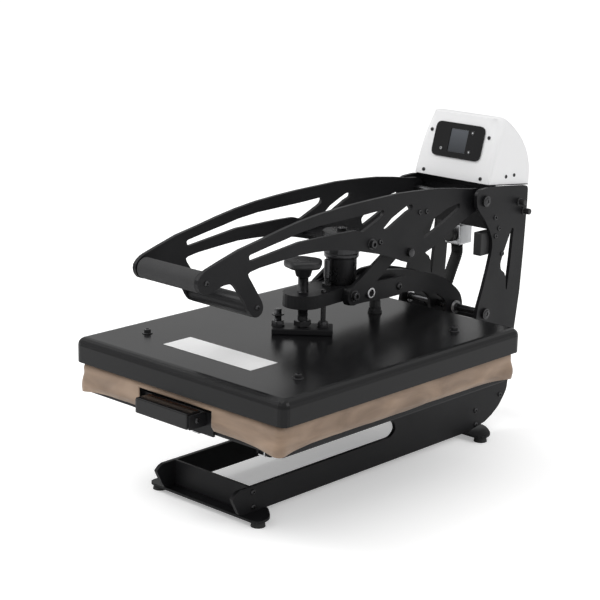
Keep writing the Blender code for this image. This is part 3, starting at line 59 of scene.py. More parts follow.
# The side view is laid out from the platen centre, which stands this far in front of the middle
SHIFT = -0.08545
BASE_Z = 0.012
SIDE_SPAN = 0.500


def side(depth_share, height_share):
    """Depth and height of a place in the side view, in the row frame."""
    return SIDE_SPAN * depth_share + SHIFT, BASE_Z + SIDE_SPAN * height_share


# Camera at the photograph's angle
CAMERA_AT = (1.69108, -1.91672, 0.93925)
CAMERA_AZIMUTH = math.radians(42.82)
CAMERA_ELEVATION = math.radians(14.87)
CAMERA_ROLL = math.radians(1.15)
CAMERA_LENS = 102.87

ca, sa = math.cos(CAMERA_AZIMUTH), math.sin(CAMERA_AZIMUTH)
ce, se = math.cos(CAMERA_ELEVATION), math.sin(CAMERA_ELEVATION)
back = Vector((sa * ce, -ca * ce, se))
right = Vector((ca, sa, 0.0))
up = back.cross(right)
rolled_right = right * math.cos(CAMERA_ROLL) + up * math.sin(CAMERA_ROLL)
rolled_up = up * math.cos(CAMERA_ROLL) - right * math.sin(CAMERA_ROLL)
camera_data = bpy.data.cameras.new("camera")
camera_data.lens = CAMERA_LENS
camera_data.sensor_width = 36.0
camera_data.clip_end = 100.0
camera = bpy.data.objects.new("camera", camera_data)
camera.matrix_world = Matrix.Translation(CAMERA_AT) @ Matrix(
    (rolled_right, rolled_up, back)).transposed().to_4x4()
bpy.context.scene.collection.objects.link(camera)
bpy.context.scene.camera = camera


# Materials
def material(name, colour, roughness, metallic=0.0, grain=0.0, grain_scale=400.0, spread=0.06,
             spread_scale=14.0, rough_spread=0.08, ior=1.5):
    """A Principled material with a grain bump, slow colour variation and uneven gloss."""
    made = bpy.data.materials.new(name)
    made.use_nodes = True
    tree = made.node_tree
    shader = tree.nodes["Principled BSDF"]
    shader.inputs["Metallic"].default_value = metallic
    shader.inputs["IOR"].default_value = ior
    place = tree.nodes.new("ShaderNodeTexCoord")
    slow = tree.nodes.new("ShaderNodeTexNoise")
    slow.inputs["Scale"].default_value = spread_scale
    slow.inputs["Detail"].default_value = 4.0
    tree.links.new(place.outputs["Object"], slow.inputs["Vector"])
    ramp = tree.nodes.new("ShaderNodeMapRange")
    ramp.inputs["From Min"].default_value = 0.3
    ramp.inputs["From Max"].default_value = 0.7
    ramp.inputs["To Min"].default_value = 1.0 - spread
    ramp.inputs["To Max"].default_value = 1.0 + spread
    tree.links.new(slow.outputs["Fac"], ramp.inputs["Value"])
    tint = tree.nodes.new("ShaderNodeVectorMath")
    tint.operation = "SCALE"
    tint.inputs[0].default_value = colour
    tree.links.new(ramp.outputs["Result"], tint.inputs["Scale"])
    tree.links.new(tint.outputs["Vector"], shader.inputs["Base Color"])
    gloss = tree.nodes.new("ShaderNodeMapRange")
    gloss.inputs["From Min"].default_value = 0.3
    gloss.inputs["From Max"].default_value = 0.7
    gloss.inputs["To Min"].default_value = max(roughness - rough_spread, 0.03)
    gloss.inputs["To Max"].default_value = roughness + rough_spread
    tree.links.new(slow.outputs["Fac"], gloss.inputs["Value"])
    tree.links.new(gloss.outputs["Result"], shader.inputs["Roughness"])
    if grain:
        speck = tree.nodes.new("ShaderNodeTexNoise")
        speck.inputs["Scale"].default_value = grain_scale
        speck.inputs["Detail"].default_value = 3.0
        tree.links.new(place.outputs["Object"], speck.inputs["Vector"])
        bump = tree.nodes.new("ShaderNodeBump")
        bump.inputs["Strength"].default_value = grain
        bump.inputs["Distance"].default_value = 0.0004
        tree.links.new(speck.outputs["Fac"], bump.inputs["Height"])
        tree.links.new(bump.outputs["Normal"], shader.inputs["Normal"])
    return made


POWDER = material("satin_black_coat", (0.010, 0.010, 0.011), 0.42, ior=1.28, grain=0.35,
                  grain_scale=900.0)
ARM_COAT = material("handle_black_coat", (0.009, 0.009, 0.010), 0.44, ior=1.27, grain=0.30,
                    grain_scale=900.0)
COVER_COAT = material("cover_gloss_coat", (0.007, 0.007, 0.0075), 0.22, ior=1.30, grain=0.22,
                      grain_scale=520.0, rough_spread=0.03, spread_scale=6.0)
GLOSS = material("gloss_black", (0.007, 0.007, 0.0075), 0.14, ior=1.35, rough_spread=0.04)
PLASTIC = material("black_plastic", (0.014, 0.014, 0.015), 0.44, grain=0.5, grain_scale=1400.0)
KNOB = material("moulded_knob", (0.013, 0.013, 0.014), 0.38, grain=0.35, grain_scale=1200.0)
RUBBER = material("black_rubber", (0.016, 0.016, 0.016), 0.78, grain=0.5, grain_scale=1500.0)
GRIP = material("grip_foam", (0.024, 0.024, 0.025), 0.74, grain=0.9, grain_scale=1900.0)
WHITE = material("white_coat", (0.83, 0.83, 0.835), 0.38, grain=0.25, grain_scale=1100.0,
                 spread=0.015)
ZINC = material("zinc_steel", (0.58, 0.58, 0.59), 0.30, 1.0, grain=0.3, grain_scale=700.0)
OXIDE = material("black_oxide", (0.050, 0.050, 0.052), 0.28, 0.8, grain=0.3, grain_scale=900.0)
ALUMINIUM = material("machined_aluminium", (0.60, 0.61, 0.62), 0.34, 1.0, grain=0.4,
                     grain_scale=600.0, spread=0.10)
SILICONE = material("silicone_foam", (0.55, 0.20, 0.06), 0.7, grain=0.8, grain_scale=900.0)
FELT = material("insulation_felt", (0.70, 0.68, 0.62), 0.95, grain=1.0, grain_scale=700.0)
BOARD = material("circuit_board", (0.03, 0.16, 0.07), 0.45, grain=0.3)
LABEL = material("blank_plate", (0.78, 0.78, 0.78), 0.35, spread=0.02)
MARK = material("printed_mark", (0.62, 0.63, 0.64), 0.5, spread=0.02)


def cloth_material():
    """Brown coated glass cloth: a fine weave, faint streaks and a dull sheen."""
    made = bpy.data.materials.new("brown_coated_cloth")
    made.use_nodes = True
    tree = made.node_tree
    shader = tree.nodes["Principled BSDF"]
    shader.inputs["Sheen Weight"].default_value = 0.15
    place = tree.nodes.new("ShaderNodeTexCoord")
    cloud = tree.nodes.new("ShaderNodeTexNoise")
    cloud.inputs["Scale"].default_value = 22.0
    cloud.inputs["Detail"].default_value = 6.0
    cloud.inputs["Distortion"].default_value = 0.6
    stretch = tree.nodes.new("ShaderNodeMapping")
    stretch.inputs["Scale"].default_value = (0.5, 0.5, 1.6)
    tree.links.new(place.outputs["Object"], stretch.inputs["Vector"])
    tree.links.new(stretch.outputs["Vector"], cloud.inputs["Vector"])
    ramp = tree.nodes.new("ShaderNodeValToRGB")
    ramp.color_ramp.elements[0].position = 0.30
    ramp.color_ramp.elements[0].color = (0.165, 0.108, 0.070, 1.0)
    ramp.color_ramp.elements[1].position = 0.72
    ramp.color_ramp.elements[1].color = (0.345, 0.240, 0.165, 1.0)
    tree.links.new(cloud.outputs["Fac"], ramp.inputs["Fac"])
    tree.links.new(ramp.outputs["Color"], shader.inputs["Base Color"])
    shader.inputs["Roughness"].default_value = 0.52
    weave = []
    for axis in range(3):
        wave = tree.nodes.new("ShaderNodeTexWave")
        wave.wave_type = "BANDS"
        wave.bands_direction = "XYZ"[axis]
        wave.inputs["Scale"].default_value = 260.0
        wave.inputs["Distortion"].default_value = 0.8
        tree.links.new(place.outputs["Object"], wave.inputs["Vector"])
        weave.append(wave)
    first = tree.nodes.new("ShaderNodeMath")
    first.operation = "ADD"
    tree.links.new(weave[0].outputs["Fac"], first.inputs[0])
    tree.links.new(weave[1].outputs["Fac"], first.inputs[1])
    second = tree.nodes.new("ShaderNodeMath")
    second.operation = "ADD"
    tree.links.new(first.outputs["Value"], second.inputs[0])
    tree.links.new(weave[2].outputs["Fac"], second.inputs[1])
    bump = tree.nodes.new("ShaderNodeBump")
    bump.inputs["Strength"].default_value = 0.25
    bump.inputs["Distance"].default_value = 0.0002
    tree.links.new(second.outputs["Value"], bump.inputs["Height"])
    tree.links.new(bump.outputs["Normal"], shader.inputs["Normal"])
    return made


CLOTH = cloth_material()


def screen_material():
    """Dark display glass with a painted reflection: its colour grows lighter towards the top."""
    made = bpy.data.materials.new("display_glass")
    made.use_nodes = True
    tree = made.node_tree
    shader = tree.nodes["Principled BSDF"]
    place = tree.nodes.new("ShaderNodeTexCoord")
    split = tree.nodes.new("ShaderNodeSeparateXYZ")
    tree.links.new(place.outputs["Generated"], split.inputs["Vector"])
    ramp = tree.nodes.new("ShaderNodeValToRGB")
    # Painted reflection: dark glass at the bottom, a lighter painted sheen at the top
    ramp.color_ramp.elements[0].color = (0.030, 0.034, 0.040, 1.0)
    ramp.color_ramp.elements[1].color = (0.085, 0.092, 0.105, 1.0)
    tree.links.new(split.outputs["Z"], ramp.inputs["Fac"])
    tree.links.new(ramp.outputs["Color"], shader.inputs["Base Color"])
    shader.inputs["Roughness"].default_value = 0.12
    return made


SCREEN = screen_material()

NODE_LOOKS = {
    "black_powder_coat": POWDER, "gloss_black_paint": COVER_COAT, "black_plastic": PLASTIC,
    "black_rubber": RUBBER, "white_paint": WHITE, "zinc_steel": ZINC, "black_oxide_steel": OXIDE,
    "cast_aluminium": ALUMINIUM, "brown_coated_sheet": CLOTH, "orange_silicone": SILICONE,
    "insulation_felt": FELT, "display_glass": SCREEN, "circuit_board": BOARD}
SLOT_OF = {row["node"]: row["material_slot"] for row in frame["record"]["subparts"]}
SPECIAL_LOOKS = {
    "handle_arm_left": ARM_COAT, "handle_arm_right": ARM_COAT, "toggle_link_left": ARM_COAT,
    "toggle_link_right": ARM_COAT, "pressure_knob": KNOB, "grip_sleeve": GRIP,
    "lower_platen": POWDER, "strike_disc": OXIDE, "display_bezel": GLOSS, "drawer_handle": GLOSS,
    "supply_hose": RUBBER}
PLATES = (
    "side_plate_left", "side_plate_right", "handle_arm_left", "handle_arm_right", "arm_plate_left",
    "arm_plate_right", "link_cheek_left", "link_cheek_right", "toggle_link_left",
    "toggle_link_right", "arm_head", "foot_plate_front", "foot_plate_rear", "front_cross_plate",
    "rear_cross_plate", "top_cross_panel", "drawer_carriage", "handle_bracket")
for name, node in NODES.items():
    look = SPECIAL_LOOKS.get(name, NODE_LOOKS.get(SLOT_OF[name], POWDER))
    node.data.materials.clear()
    node.data.materials.append(look)
    if name in PLATES:
        edge = node.modifiers.new("edge_break", "BEVEL")
        edge.width = 0.0006
        edge.segments = 2
        edge.limit_method = "ANGLE"
        edge.angle_limit = math.radians(40)


# Building helpers
def finish_piece(name, solid, look, body, smooth=True):
    """Turn a bmesh into a named piece that rides on a body."""
    mesh = bpy.data.meshes.new(name)
    solid.to_mesh(mesh)
    solid.free()
    mesh.materials.append(look)
    if smooth:
        mesh.shade_smooth()
        mesh.set_sharp_from_angle(angle=math.radians(32))
    made = bpy.data.objects.new(name, mesh)
    bpy.context.scene.collection.objects.link(made)
    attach(made, body)
    return made


def lathe(solid, profile, matrix, sides=24, shapes=None):
    """A profile of radius and height turned round Z; shapes gives a ring's radius by angle."""
    rings = []
    for index, (radius, height) in enumerate(profile):
        if radius == 0.0:
            rings.append([solid.verts.new(matrix @ Vector((0.0, 0.0, height)))])
            continue
        ring = []
        for step in range(sides):
            angle = 2 * math.pi * step / sides
            reach = radius
            if shapes and index in shapes:
                reach = radius * shapes[index](angle)
            ring.append(solid.verts.new(matrix @ Vector(
                (reach * math.cos(angle), reach * math.sin(angle), height))))
        rings.append(ring)
    for first, second in zip(rings, rings[1:]):
        for step in range(sides):
            after = (step + 1) % sides
            if len(first) == 1:
                solid.faces.new((first[0], second[after], second[step]))
            elif len(second) == 1:
                solid.faces.new((first[step], first[after], second[0]))
            else:
                solid.faces.new((first[step], first[after], second[after], second[step]))


def hexagon(angle):
    """Reach of a hexagon whose flats lie at radius 1."""
    sixth = math.pi / 3
    return 1.0 / math.cos((angle % sixth) - sixth / 2)


TURNS = {
    "+X": Matrix.Rotation(math.pi / 2, 4, "Y"), "-X": Matrix.Rotation(-math.pi / 2, 4, "Y"),
    "+Z": Matrix.Identity(4), "-Y": Matrix.Rotation(math.pi / 2, 4, "X"),
    "+Y": Matrix.Rotation(-math.pi / 2, 4, "X")}


def at(spot, way="+Z"):
    """A matrix that stands something on a spot, its own Z pointing one way."""
    return Matrix.Translation(spot) @ TURNS[way]


def button_head(solid, matrix, radius, height):
    """A domed screw head with a hexagon socket."""
    lathe(solid, [(0.0, height * 0.35), (radius * 0.42, height * 0.35), (radius * 0.42, height),
                  (radius * 0.62, height * 0.97), (radius * 0.88, height * 0.68),
                  (radius, height * 0.25), (radius, 0.0), (0.0, 0.0)], matrix,
          shapes={1: hexagon, 2: hexagon})


def cap_head(solid, matrix, radius, height, washer=0.0):
    """A cylindrical socket head, with a washer under it if asked."""
    lift = height * 0.18 if washer else 0.0
    lathe(solid, [(0.0, height * 0.5), (radius * 0.50, height * 0.5), (radius * 0.50, height),
                  (radius * 0.88, height), (radius, height * 0.90), (radius, lift), (0.0, lift)],
          matrix, shapes={1: hexagon, 2: hexagon})
    if washer:
        lathe(solid, [(0.0, lift), (washer * 0.95, lift), (washer, lift * 0.6), (washer, 0.0),
                      (0.0, 0.0)], matrix)


def hex_nut(solid, matrix, flats, height):
    """A hexagon nut or bolt head with chamfered corners."""
    lathe(solid, [(0.0, height), (flats * 0.95, height), (flats, height * 0.86), (flats, 0.0),
                  (0.0, 0.0)], matrix, shapes={2: hexagon, 3: hexagon})


def threaded(solid, matrix, radius, low, high, pitch):
    """A threaded length: close rings whose radius goes up and down."""
    profile = [(0.0, high), (radius * 0.90, high)]
    count = int((high - low) / pitch)
    for turn in range(count):
        top = high - turn * pitch
        profile.append((radius, top - pitch * 0.35))
        profile.append((radius * 0.90, top - pitch * 0.85))
    profile += [(radius * 0.90, low), (0.0, low)]
    lathe(solid, profile, matrix, sides=20)


def mirrored(spots):
    """Each place with its way out, and the same on the left."""
    out = []
    for x, y, z in spots:
        out.append(((x, y, z), "+X"))
        out.append(((-x, y, z), "-X"))
    return out


def block(solid, low, high):
    """A plain block, its edges to be broken by a Bevel modifier."""
    size = Vector(high) - Vector(low)
    middle = (Vector(high) + Vector(low)) / 2
    bmesh.ops.create_cube(solid, size=1.0, matrix=Matrix.Translation(middle)
                          @ Matrix.Diagonal((*size, 1.0)))


def broken_edges(piece, width, segments=3):
    """Round a piece's edges."""
    edge = piece.modifiers.new("edges", "BEVEL")
    edge.width = width
    edge.segments = segments
    edge.limit_method = "ANGLE"


GAP = 0.0002
# Radius and height of the small domed screws
PLATE_SCREW = (0.0042, 0.0022)
HOUSING_SCREW = (0.0031, 0.0017)
SIDE_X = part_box("side_plate_right")[1].x
HANDLE_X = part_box("handle_arm_right")[1].x
COVER_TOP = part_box("platen_cover")[1].z
HINGE = side(0.670, 0.768)
ARM_SHAFT = side(0.694, 0.392)

# Screws on the side plates
SIDE_SCREWS = [(0.728, 0.706), (0.750, 0.668), (0.734, 0.644), (0.774, 0.580), (0.670, 0.066),
               (0.674, 0.016), (-0.372, 0.062), (-0.370, 0.016), (0.800, 0.092)]
solid = bmesh.new()
for spot, way in mirrored([(SIDE_X + GAP, *side(*share)) for share in SIDE_SCREWS]):
    button_head(solid, at(spot, way), *PLATE_SCREW)
finish_piece("frame_screws", solid, OXIDE, "frame")

solid = bmesh.new()
for spot, way in mirrored([(SIDE_X + GAP, *side(0.852, 0.742)),
                           (SIDE_X + GAP, *side(0.880, 0.708))]):
    matrix = at(spot, way)
    lathe(solid, [(0.0, 0.0135), (0.0036, 0.0135), (0.0046, 0.0128), (0.0050, 0.0115),
                  (0.0050, 0.0030), (0.0062, 0.0024), (0.0062, 0.0), (0.0, 0.0)], matrix)
finish_piece("rear_stop_bolts", solid, PLASTIC, "frame")

# Shaft ends: a dished face with a socket on each, and washers between the plates
solid = bmesh.new()
shaft_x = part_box("handle_hinge_shaft")[1].x
for place in (HINGE, ARM_SHAFT):
    for spot, way in mirrored([(shaft_x - 0.0002, *place)]):
        button_head(solid, at(spot, way), 0.0070, 0.0012)
finish_piece("shaft_end_caps", solid, OXIDE, "frame")
solid = bmesh.new()
for x in (0.0680, 0.0712, 0.0744):
    for spot, way in mirrored([(x, *HINGE)]):
        lathe(solid, [(0.0066, 0.0014), (0.0098, 0.0014), (0.0102, 0.0010), (0.0102, 0.0),
                      (0.0066, 0.0), (0.0066, 0.0014)], at(spot, way))
for x in (0.0212, 0.0236, 0.0735):
    for spot, way in mirrored([(x, *ARM_SHAFT)]):
        lathe(solid, [(0.0066, 0.0016), (0.0098, 0.0016), (0.0102, 0.0012), (0.0102, 0.0),
                      (0.0066, 0.0), (0.0066, 0.0016)], at(spot, way))
finish_piece("shaft_washers", solid, ZINC, "frame")

# Handle fittings
GRIP_AT = side(-0.530, 0.698)
CROSS_AT = side(-0.332, 0.594)
solid = bmesh.new()
for place in (GRIP_AT, CROSS_AT, side(0.380, 0.768), side(0.414, 0.766)):
    for spot, way in mirrored([(HANDLE_X + GAP, *place)]):
        button_head(solid, at(spot, way), *PLATE_SCREW)
finish_piece("handle_screws", solid, OXIDE, "handle")
STRIKE = side(0.170, 0.696)
solid = bmesh.new()
for spot, way in mirrored([(HANDLE_X + GAP, STRIKE[0] - 0.007, STRIKE[1] + 0.003)]):
    cap_head(solid, at(spot, way), 0.0062, 0.0062, 0.0085)
for spot, way in mirrored([(HANDLE_X + GAP, STRIKE[0] + 0.013, STRIKE[1] + 0.003)]):
    button_head(solid, at(spot, way), 0.0045, 0.0024)
disc_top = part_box("strike_disc")[1].z
hex_nut(solid, at((0.0, STRIKE[0], disc_top + GAP)), 0.0068, 0.0052)
finish_piece("strike_bar_bolts", solid, OXIDE, "handle")
LINK_TOP = side(0.336, 0.648)
LINK_FOOT = side(0.144, 0.533)
solid = bmesh.new()
pin_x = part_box("link_pin_right")[1].x
for spot, way in mirrored([(pin_x - 0.0004, *LINK_TOP)]):
    lathe(solid, [(0.0, 0.0022), (0.0048, 0.0022), (0.0066, 0.0014), (0.0066, -0.0030),
                  (0.0, -0.0030)], at(spot, way))
link_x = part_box("toggle_link_right")[1].x
for step in range(3):
    for spot, way in mirrored([(link_x + 0.0010 + step * 0.0062, *LINK_TOP)]):
        lathe(solid, [(0.0056, 0.0056), (0.0092, 0.0056), (0.0096, 0.0052), (0.0096, 0.0004),
                      (0.0092, 0.0), (0.0056, 0.0), (0.0056, 0.0056)], at(spot, way))
finish_piece("link_pin_collars", solid, OXIDE, "handle")
solid = bmesh.new()
for spot, way in mirrored([(link_x + GAP, *LINK_FOOT)]):
    cap_head(solid, at(spot, way), 0.0066, 0.0060, 0.0092)
finish_piece("link_foot_bolts", solid, OXIDE, "toggle_links")

# Foam grip: fine ribs along its length and rounded ends, over the sleeve's solid
grip_low, grip_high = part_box("grip_sleeve")
solid = bmesh.new()
grip_r = (grip_high.z - grip_low.z) / 2
grip_l = (grip_high.x - grip_low.x) / 2
profile = [(0.0, grip_l), (grip_r * 0.80, grip_l), (grip_r * 0.93, grip_l - 0.0006),
           (grip_r, grip_l - 0.0022)]
for step in range(1, 24):
    x = grip_l - 0.0022 - (2 * grip_l - 0.0044) * step / 24
    profile.append((grip_r * (1.0 - 0.012 * (step % 2)), x))
profile += [(grip_r, -grip_l + 0.0022), (grip_r * 0.93, -grip_l + 0.0006),
            (grip_r * 0.80, -grip_l), (0.0, -grip_l)]
lathe(solid, profile, at((0.0, *GRIP_AT), "+X"), sides=40)
grip = finish_piece("grip_foam_sleeve", solid, GRIP, "handle")
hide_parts("grip_sleeve")

# Platen arm fittings
cheek_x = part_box("link_cheek_right")[1].x
arm_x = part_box("arm_plate_right")[1].x
solid = bmesh.new()
for spot, way in mirrored([(arm_x + GAP, *side(0.284, 0.538))]):
    button_head(solid, at(spot, way), 0.0055, 0.0030)
for spot, way in mirrored([(cheek_x + GAP, *side(0.370, 0.522))]):
    button_head(solid, at(spot, way), 0.0058, 0.0030)
for spot, way in mirrored([(arm_x + GAP, *side(0.370, 0.522))]):
    lathe(solid, [(0.0, 0.0070), (0.0070, 0.0070), (0.0070, 0.0), (0.0, 0.0)], at(spot, way))
finish_piece("arm_bolts", solid, OXIDE, "platen_arm")
solid = bmesh.new()
for spot, way in mirrored([(cheek_x + GAP, *side(0.228, 0.527))]):
    lathe(solid, [(0.0058, 0.0046), (0.0080, 0.0046), (0.0086, 0.0040), (0.0086, 0.0),
                  (0.0058, 0.0), (0.0058, 0.0046)], at(spot, way), sides=36)
finish_piece("bush_rings", solid, ZINC, "platen_arm")
solid = bmesh.new()
for spot, way in mirrored([(cheek_x + GAP, *side(0.228, 0.527))]):
    button_head(solid, at(spot, way), 0.0050, 0.0030)
finish_piece("bush_screws", solid, OXIDE, "platen_arm")

# Holding magnet: coil can with a flange, seen from every side
magnet_low, magnet_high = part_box("holding_magnet")
magnet_y = (magnet_low.y + magnet_high.y) / 2
solid = bmesh.new()
lathe(solid, [(0.0, 0.0492), (0.0215, 0.0492), (0.0262, 0.0490), (0.0268, 0.0480),
              (0.0268, 0.0425), (0.0260, 0.0412), (0.0242, 0.0410), (0.0238, 0.0400), (0.0238, 0.0035),
              (0.0232, 0.0022), (0.0225, 0.0), (0.0, 0.0)], at((0.0, magnet_y, magnet_low.z)),
      sides=56)
can = finish_piece("holding_magnet_can", solid, OXIDE, "platen_arm")
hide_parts("holding_magnet")

# Stop pillar with its threaded foot and lock nut
pillar_low, pillar_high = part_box("stop_pillar")
pillar_y = (pillar_low.y + pillar_high.y) / 2
solid = bmesh.new()
matrix = at((0.0, pillar_y, pillar_low.z))
lathe(solid, [(0.0, 0.0410), (0.0040, 0.0410), (0.0048, 0.0402), (0.0048, 0.0130), (0.0, 0.0130)],
      matrix)
threaded(solid, matrix, 0.0042, 0.0, 0.0130, 0.0012)
hex_nut(solid, matrix, 0.0070, 0.0045)
pillar = finish_piece("stop_pillar_post", solid, OXIDE, "platen_arm")
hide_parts("stop_pillar")

# Pressure screw and knob
screw_low, screw_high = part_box("pressure_screw")
knob_low, knob_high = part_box("pressure_knob")
solid = bmesh.new()
matrix = at((0.0, SHIFT, screw_low.z))
length = screw_high.z - screw_low.z
threaded(solid, matrix, 0.0082, 0.0160, length - 0.012, 0.0020)
lathe(solid, [(0.0, 0.0160), (0.0076, 0.0160), (0.0076, 0.0), (0.0, 0.0)], matrix)
hex_nut(solid, matrix @ Matrix.Translation((0.0, 0.0, 0.0020)), 0.0118, 0.0088)
spindle = finish_piece("pressure_screw_spindle", solid, OXIDE, "pressure_knob_group")
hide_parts("pressure_screw")
knob_height = knob_high.z - knob_low.z


def lobes(angle):
    """Five soft lobes round the knob."""
    return 1.0 + 0.055 * math.cos(5 * angle)


solid = bmesh.new()
lathe(solid, [(0.0, knob_height - 0.0008), (0.0095, knob_height - 0.0008),
              (0.0105, knob_height - 0.0016), (0.0190, knob_height - 0.0012), (0.0245, knob_height - 0.0008),
              (0.0272, knob_height - 0.0018), (0.0285, knob_height - 0.0040),
              (0.0285, knob_height - 0.0090), (0.0272, knob_height - 0.0112),
              (0.0240, knob_height - 0.0120), (0.0155, knob_height - 0.0124),
              (0.0142, knob_height - 0.0140), (0.0112, 0.0010), (0.0104, 0.0), (0.0, 0.0)],
      at((0.0, SHIFT, knob_low.z)), sides=80,
      shapes={4: lobes, 5: lobes, 6: lobes, 7: lobes, 8: lobes, 9: lobes})
knob = finish_piece("pressure_knob_moulding", solid, KNOB, "pressure_knob_group")
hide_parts("pressure_knob")

# Upper platen fittings
solid = bmesh.new()
for x in (-0.155, 0.155):
    for y in (-0.174, 0.174):
        cap_head(solid, at((x, y + SHIFT, COVER_TOP + GAP)), 0.0052, 0.0066, 0.0078)
finish_piece("cover_bolts", solid, OXIDE, "upper_platen")

solid = bmesh.new()
block(solid, (-0.095, -0.197 + SHIFT, COVER_TOP + 0.0001),
      (0.085, -0.142 + SHIFT, COVER_TOP + 0.0005))
plate = finish_piece("blank_name_plate", solid, LABEL, "upper_platen")
broken_edges(plate, 0.0002, 1)

stud_low, stud_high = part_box("clamping_stud")
stud = (stud_low + stud_high) / 2
stud_height = stud_high.z - stud_low.z
solid = bmesh.new()
matrix = at((stud.x, stud.y, stud_low.z))
threaded(solid, matrix, 0.0058, 0.0, stud_height, 0.0013)
lathe(solid, [(0.0060, stud_height * 0.72), (0.0092, stud_height * 0.72),
              (0.0096, stud_height * 0.70), (0.0096, stud_height * 0.66),
              (0.0092, stud_height * 0.64), (0.0060, stud_height * 0.64),
              (0.0060, stud_height * 0.72)], matrix)
hex_nut(solid, matrix @ Matrix.Translation((0.0, 0.0, 0.0022)), 0.0086, 0.0068)
lathe(solid, [(0.0, 0.0022), (0.0102, 0.0022), (0.0102, 0.0), (0.0, 0.0)], matrix)
post = finish_piece("clamping_stud_post", solid, OXIDE, "upper_platen")
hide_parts("clamping_stud")

rod_low, rod_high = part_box("guide_rod")
rod = (rod_low + rod_high) / 2
rod_height = rod_high.z - rod_low.z
solid = bmesh.new()
matrix = at((rod.x, rod.y, rod_low.z))
lathe(solid, [(0.0, rod_height), (0.0032, rod_height), (0.0039, rod_height - 0.0008),
              (0.0039, 0.0080), (0.0, 0.0080)], matrix)
hex_nut(solid, matrix @ Matrix.Translation((0.0, 0.0, 0.0016)), 0.0072, 0.0066)
lathe(solid, [(0.0, 0.0016), (0.0088, 0.0016), (0.0088, 0.0), (0.0, 0.0)], matrix)
guide = finish_piece("guide_rod_post", solid, OXIDE, "upper_platen")
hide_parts("guide_rod")

gland_low, gland_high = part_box("cable_gland")
gland_y = (gland_low.y + gland_high.y) / 2
solid = bmesh.new()
matrix = at((0.0, gland_y, gland_low.z))


def ribs(angle):
    """Grip ribs round the gland's nut."""
    return 1.0 + 0.03 * math.cos(14 * angle)


lathe(solid, [(0.0, 0.0219), (0.0060, 0.0219), (0.0078, 0.0205), (0.0086, 0.0180),
              (0.0088, 0.0100), (0.0082, 0.0096), (0.0082, 0.0086), (0.0090, 0.0082),
              (0.0090, 0.0034), (0.0112, 0.0030), (0.0112, 0.0), (0.0, 0.0)], matrix, sides=84,
      shapes={3: ribs, 4: ribs, 7: hexagon, 8: hexagon})
gland = finish_piece("cable_gland_body", solid, PLASTIC, "upper_platen")
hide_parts("cable_gland")

# Drawer handle screws
pull_low, pull_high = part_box("drawer_handle")
solid = bmesh.new()
pull_middle = (pull_low.z + pull_high.z) / 2
for spot, way in mirrored([(pull_high.x + 0.0036, pull_high.y - 0.010, pull_middle)]):
    button_head(solid, at(spot, way), *PLATE_SCREW)
finish_piece("drawer_handle_screws", solid, OXIDE, "drawer")

# Housing: a smooth moulding, and the tray that seats it on the cross panel
HOUSE_LEVELS = (
    (0.840, 0.920, 1.000, 0.05), (0.866, 0.917, 1.000, 0.07), (0.890, 0.911, 1.000, 0.09),
    (0.914, 0.902, 0.998, 0.12), (0.938, 0.889, 0.993, 0.16), (0.960, 0.874, 0.984, 0.20),
    (0.980, 0.857, 0.968, 0.24), (0.996, 0.840, 0.945, 0.25), (1.008, 0.824, 0.912, 0.23),
    (1.015, 0.811, 0.878, 0.18), (1.019, 0.799, 0.840, 0.11))
HOUSE_HALF = 0.077


def face_at(height):
    """Depth of the leaning front face at a height."""
    foot, head = side(0.700, 0.826), side(0.738, 0.958)
    return foot[0] + (height - foot[1]) * (head[0] - foot[0]) / (head[1] - foot[1])


def house_level(front, rear, half, corner, rise):
    """A rectangle with round corners at one level of the housing."""
    loop = []
    for sign_x, sign_y, start in ((1, 1, 0.0), (-1, 1, 90.0), (-1, -1, 180.0), (1, -1, 270.0)):
        y = rear if sign_y > 0 else front
        centre = (sign_x * (half - corner), y - sign_y * corner)
        for step in range(9):
            angle = math.radians(start + 11.25 * step)
            depth = centre[1] + corner * math.sin(angle)
            loop.append(Vector((centre[0] + corner * math.cos(angle), depth, rise(depth))))
    return loop


rim_front = side(0.704, 0.814)
rim_rear = side(0.920, 0.792)
rim_slope = (rim_rear[1] - rim_front[1]) / (rim_rear[0] - rim_front[0])
sections = [house_level(face_at(rim_front[1]), rim_rear[0], HOUSE_HALF, HOUSE_HALF * 0.05,
                        lambda depth: rim_front[1] + 0.0003 + (depth - rim_front[0]) * rim_slope)]
for height_share, rear_share, half_share, corner_share in HOUSE_LEVELS:
    rear, height = side(rear_share, height_share)
    sections.append(house_level(face_at(height), rear, HOUSE_HALF * half_share,
                                HOUSE_HALF * corner_share, lambda depth, h=height: h))
solid = bmesh.new()
rings = [[solid.verts.new(spot) for spot in section] for section in sections]
for lower, upper in zip(rings, rings[1:]):
    for k in range(len(lower)):
        j = (k + 1) % len(lower)
        solid.faces.new((lower[k], lower[j], upper[j], upper[k]))
solid.faces.new(rings[-1])
bmesh.ops.recalc_face_normals(solid, faces=solid.faces)
house = finish_piece("control_housing_moulding", solid, WHITE, "frame",
                     smooth=False)
house.data.shade_smooth()
wall = house.modifiers.new("wall", "SOLIDIFY")
wall.thickness = 0.003
wall.offset = -1.0
broken_edges(house, 0.0012, 3)
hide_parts("control_housing")

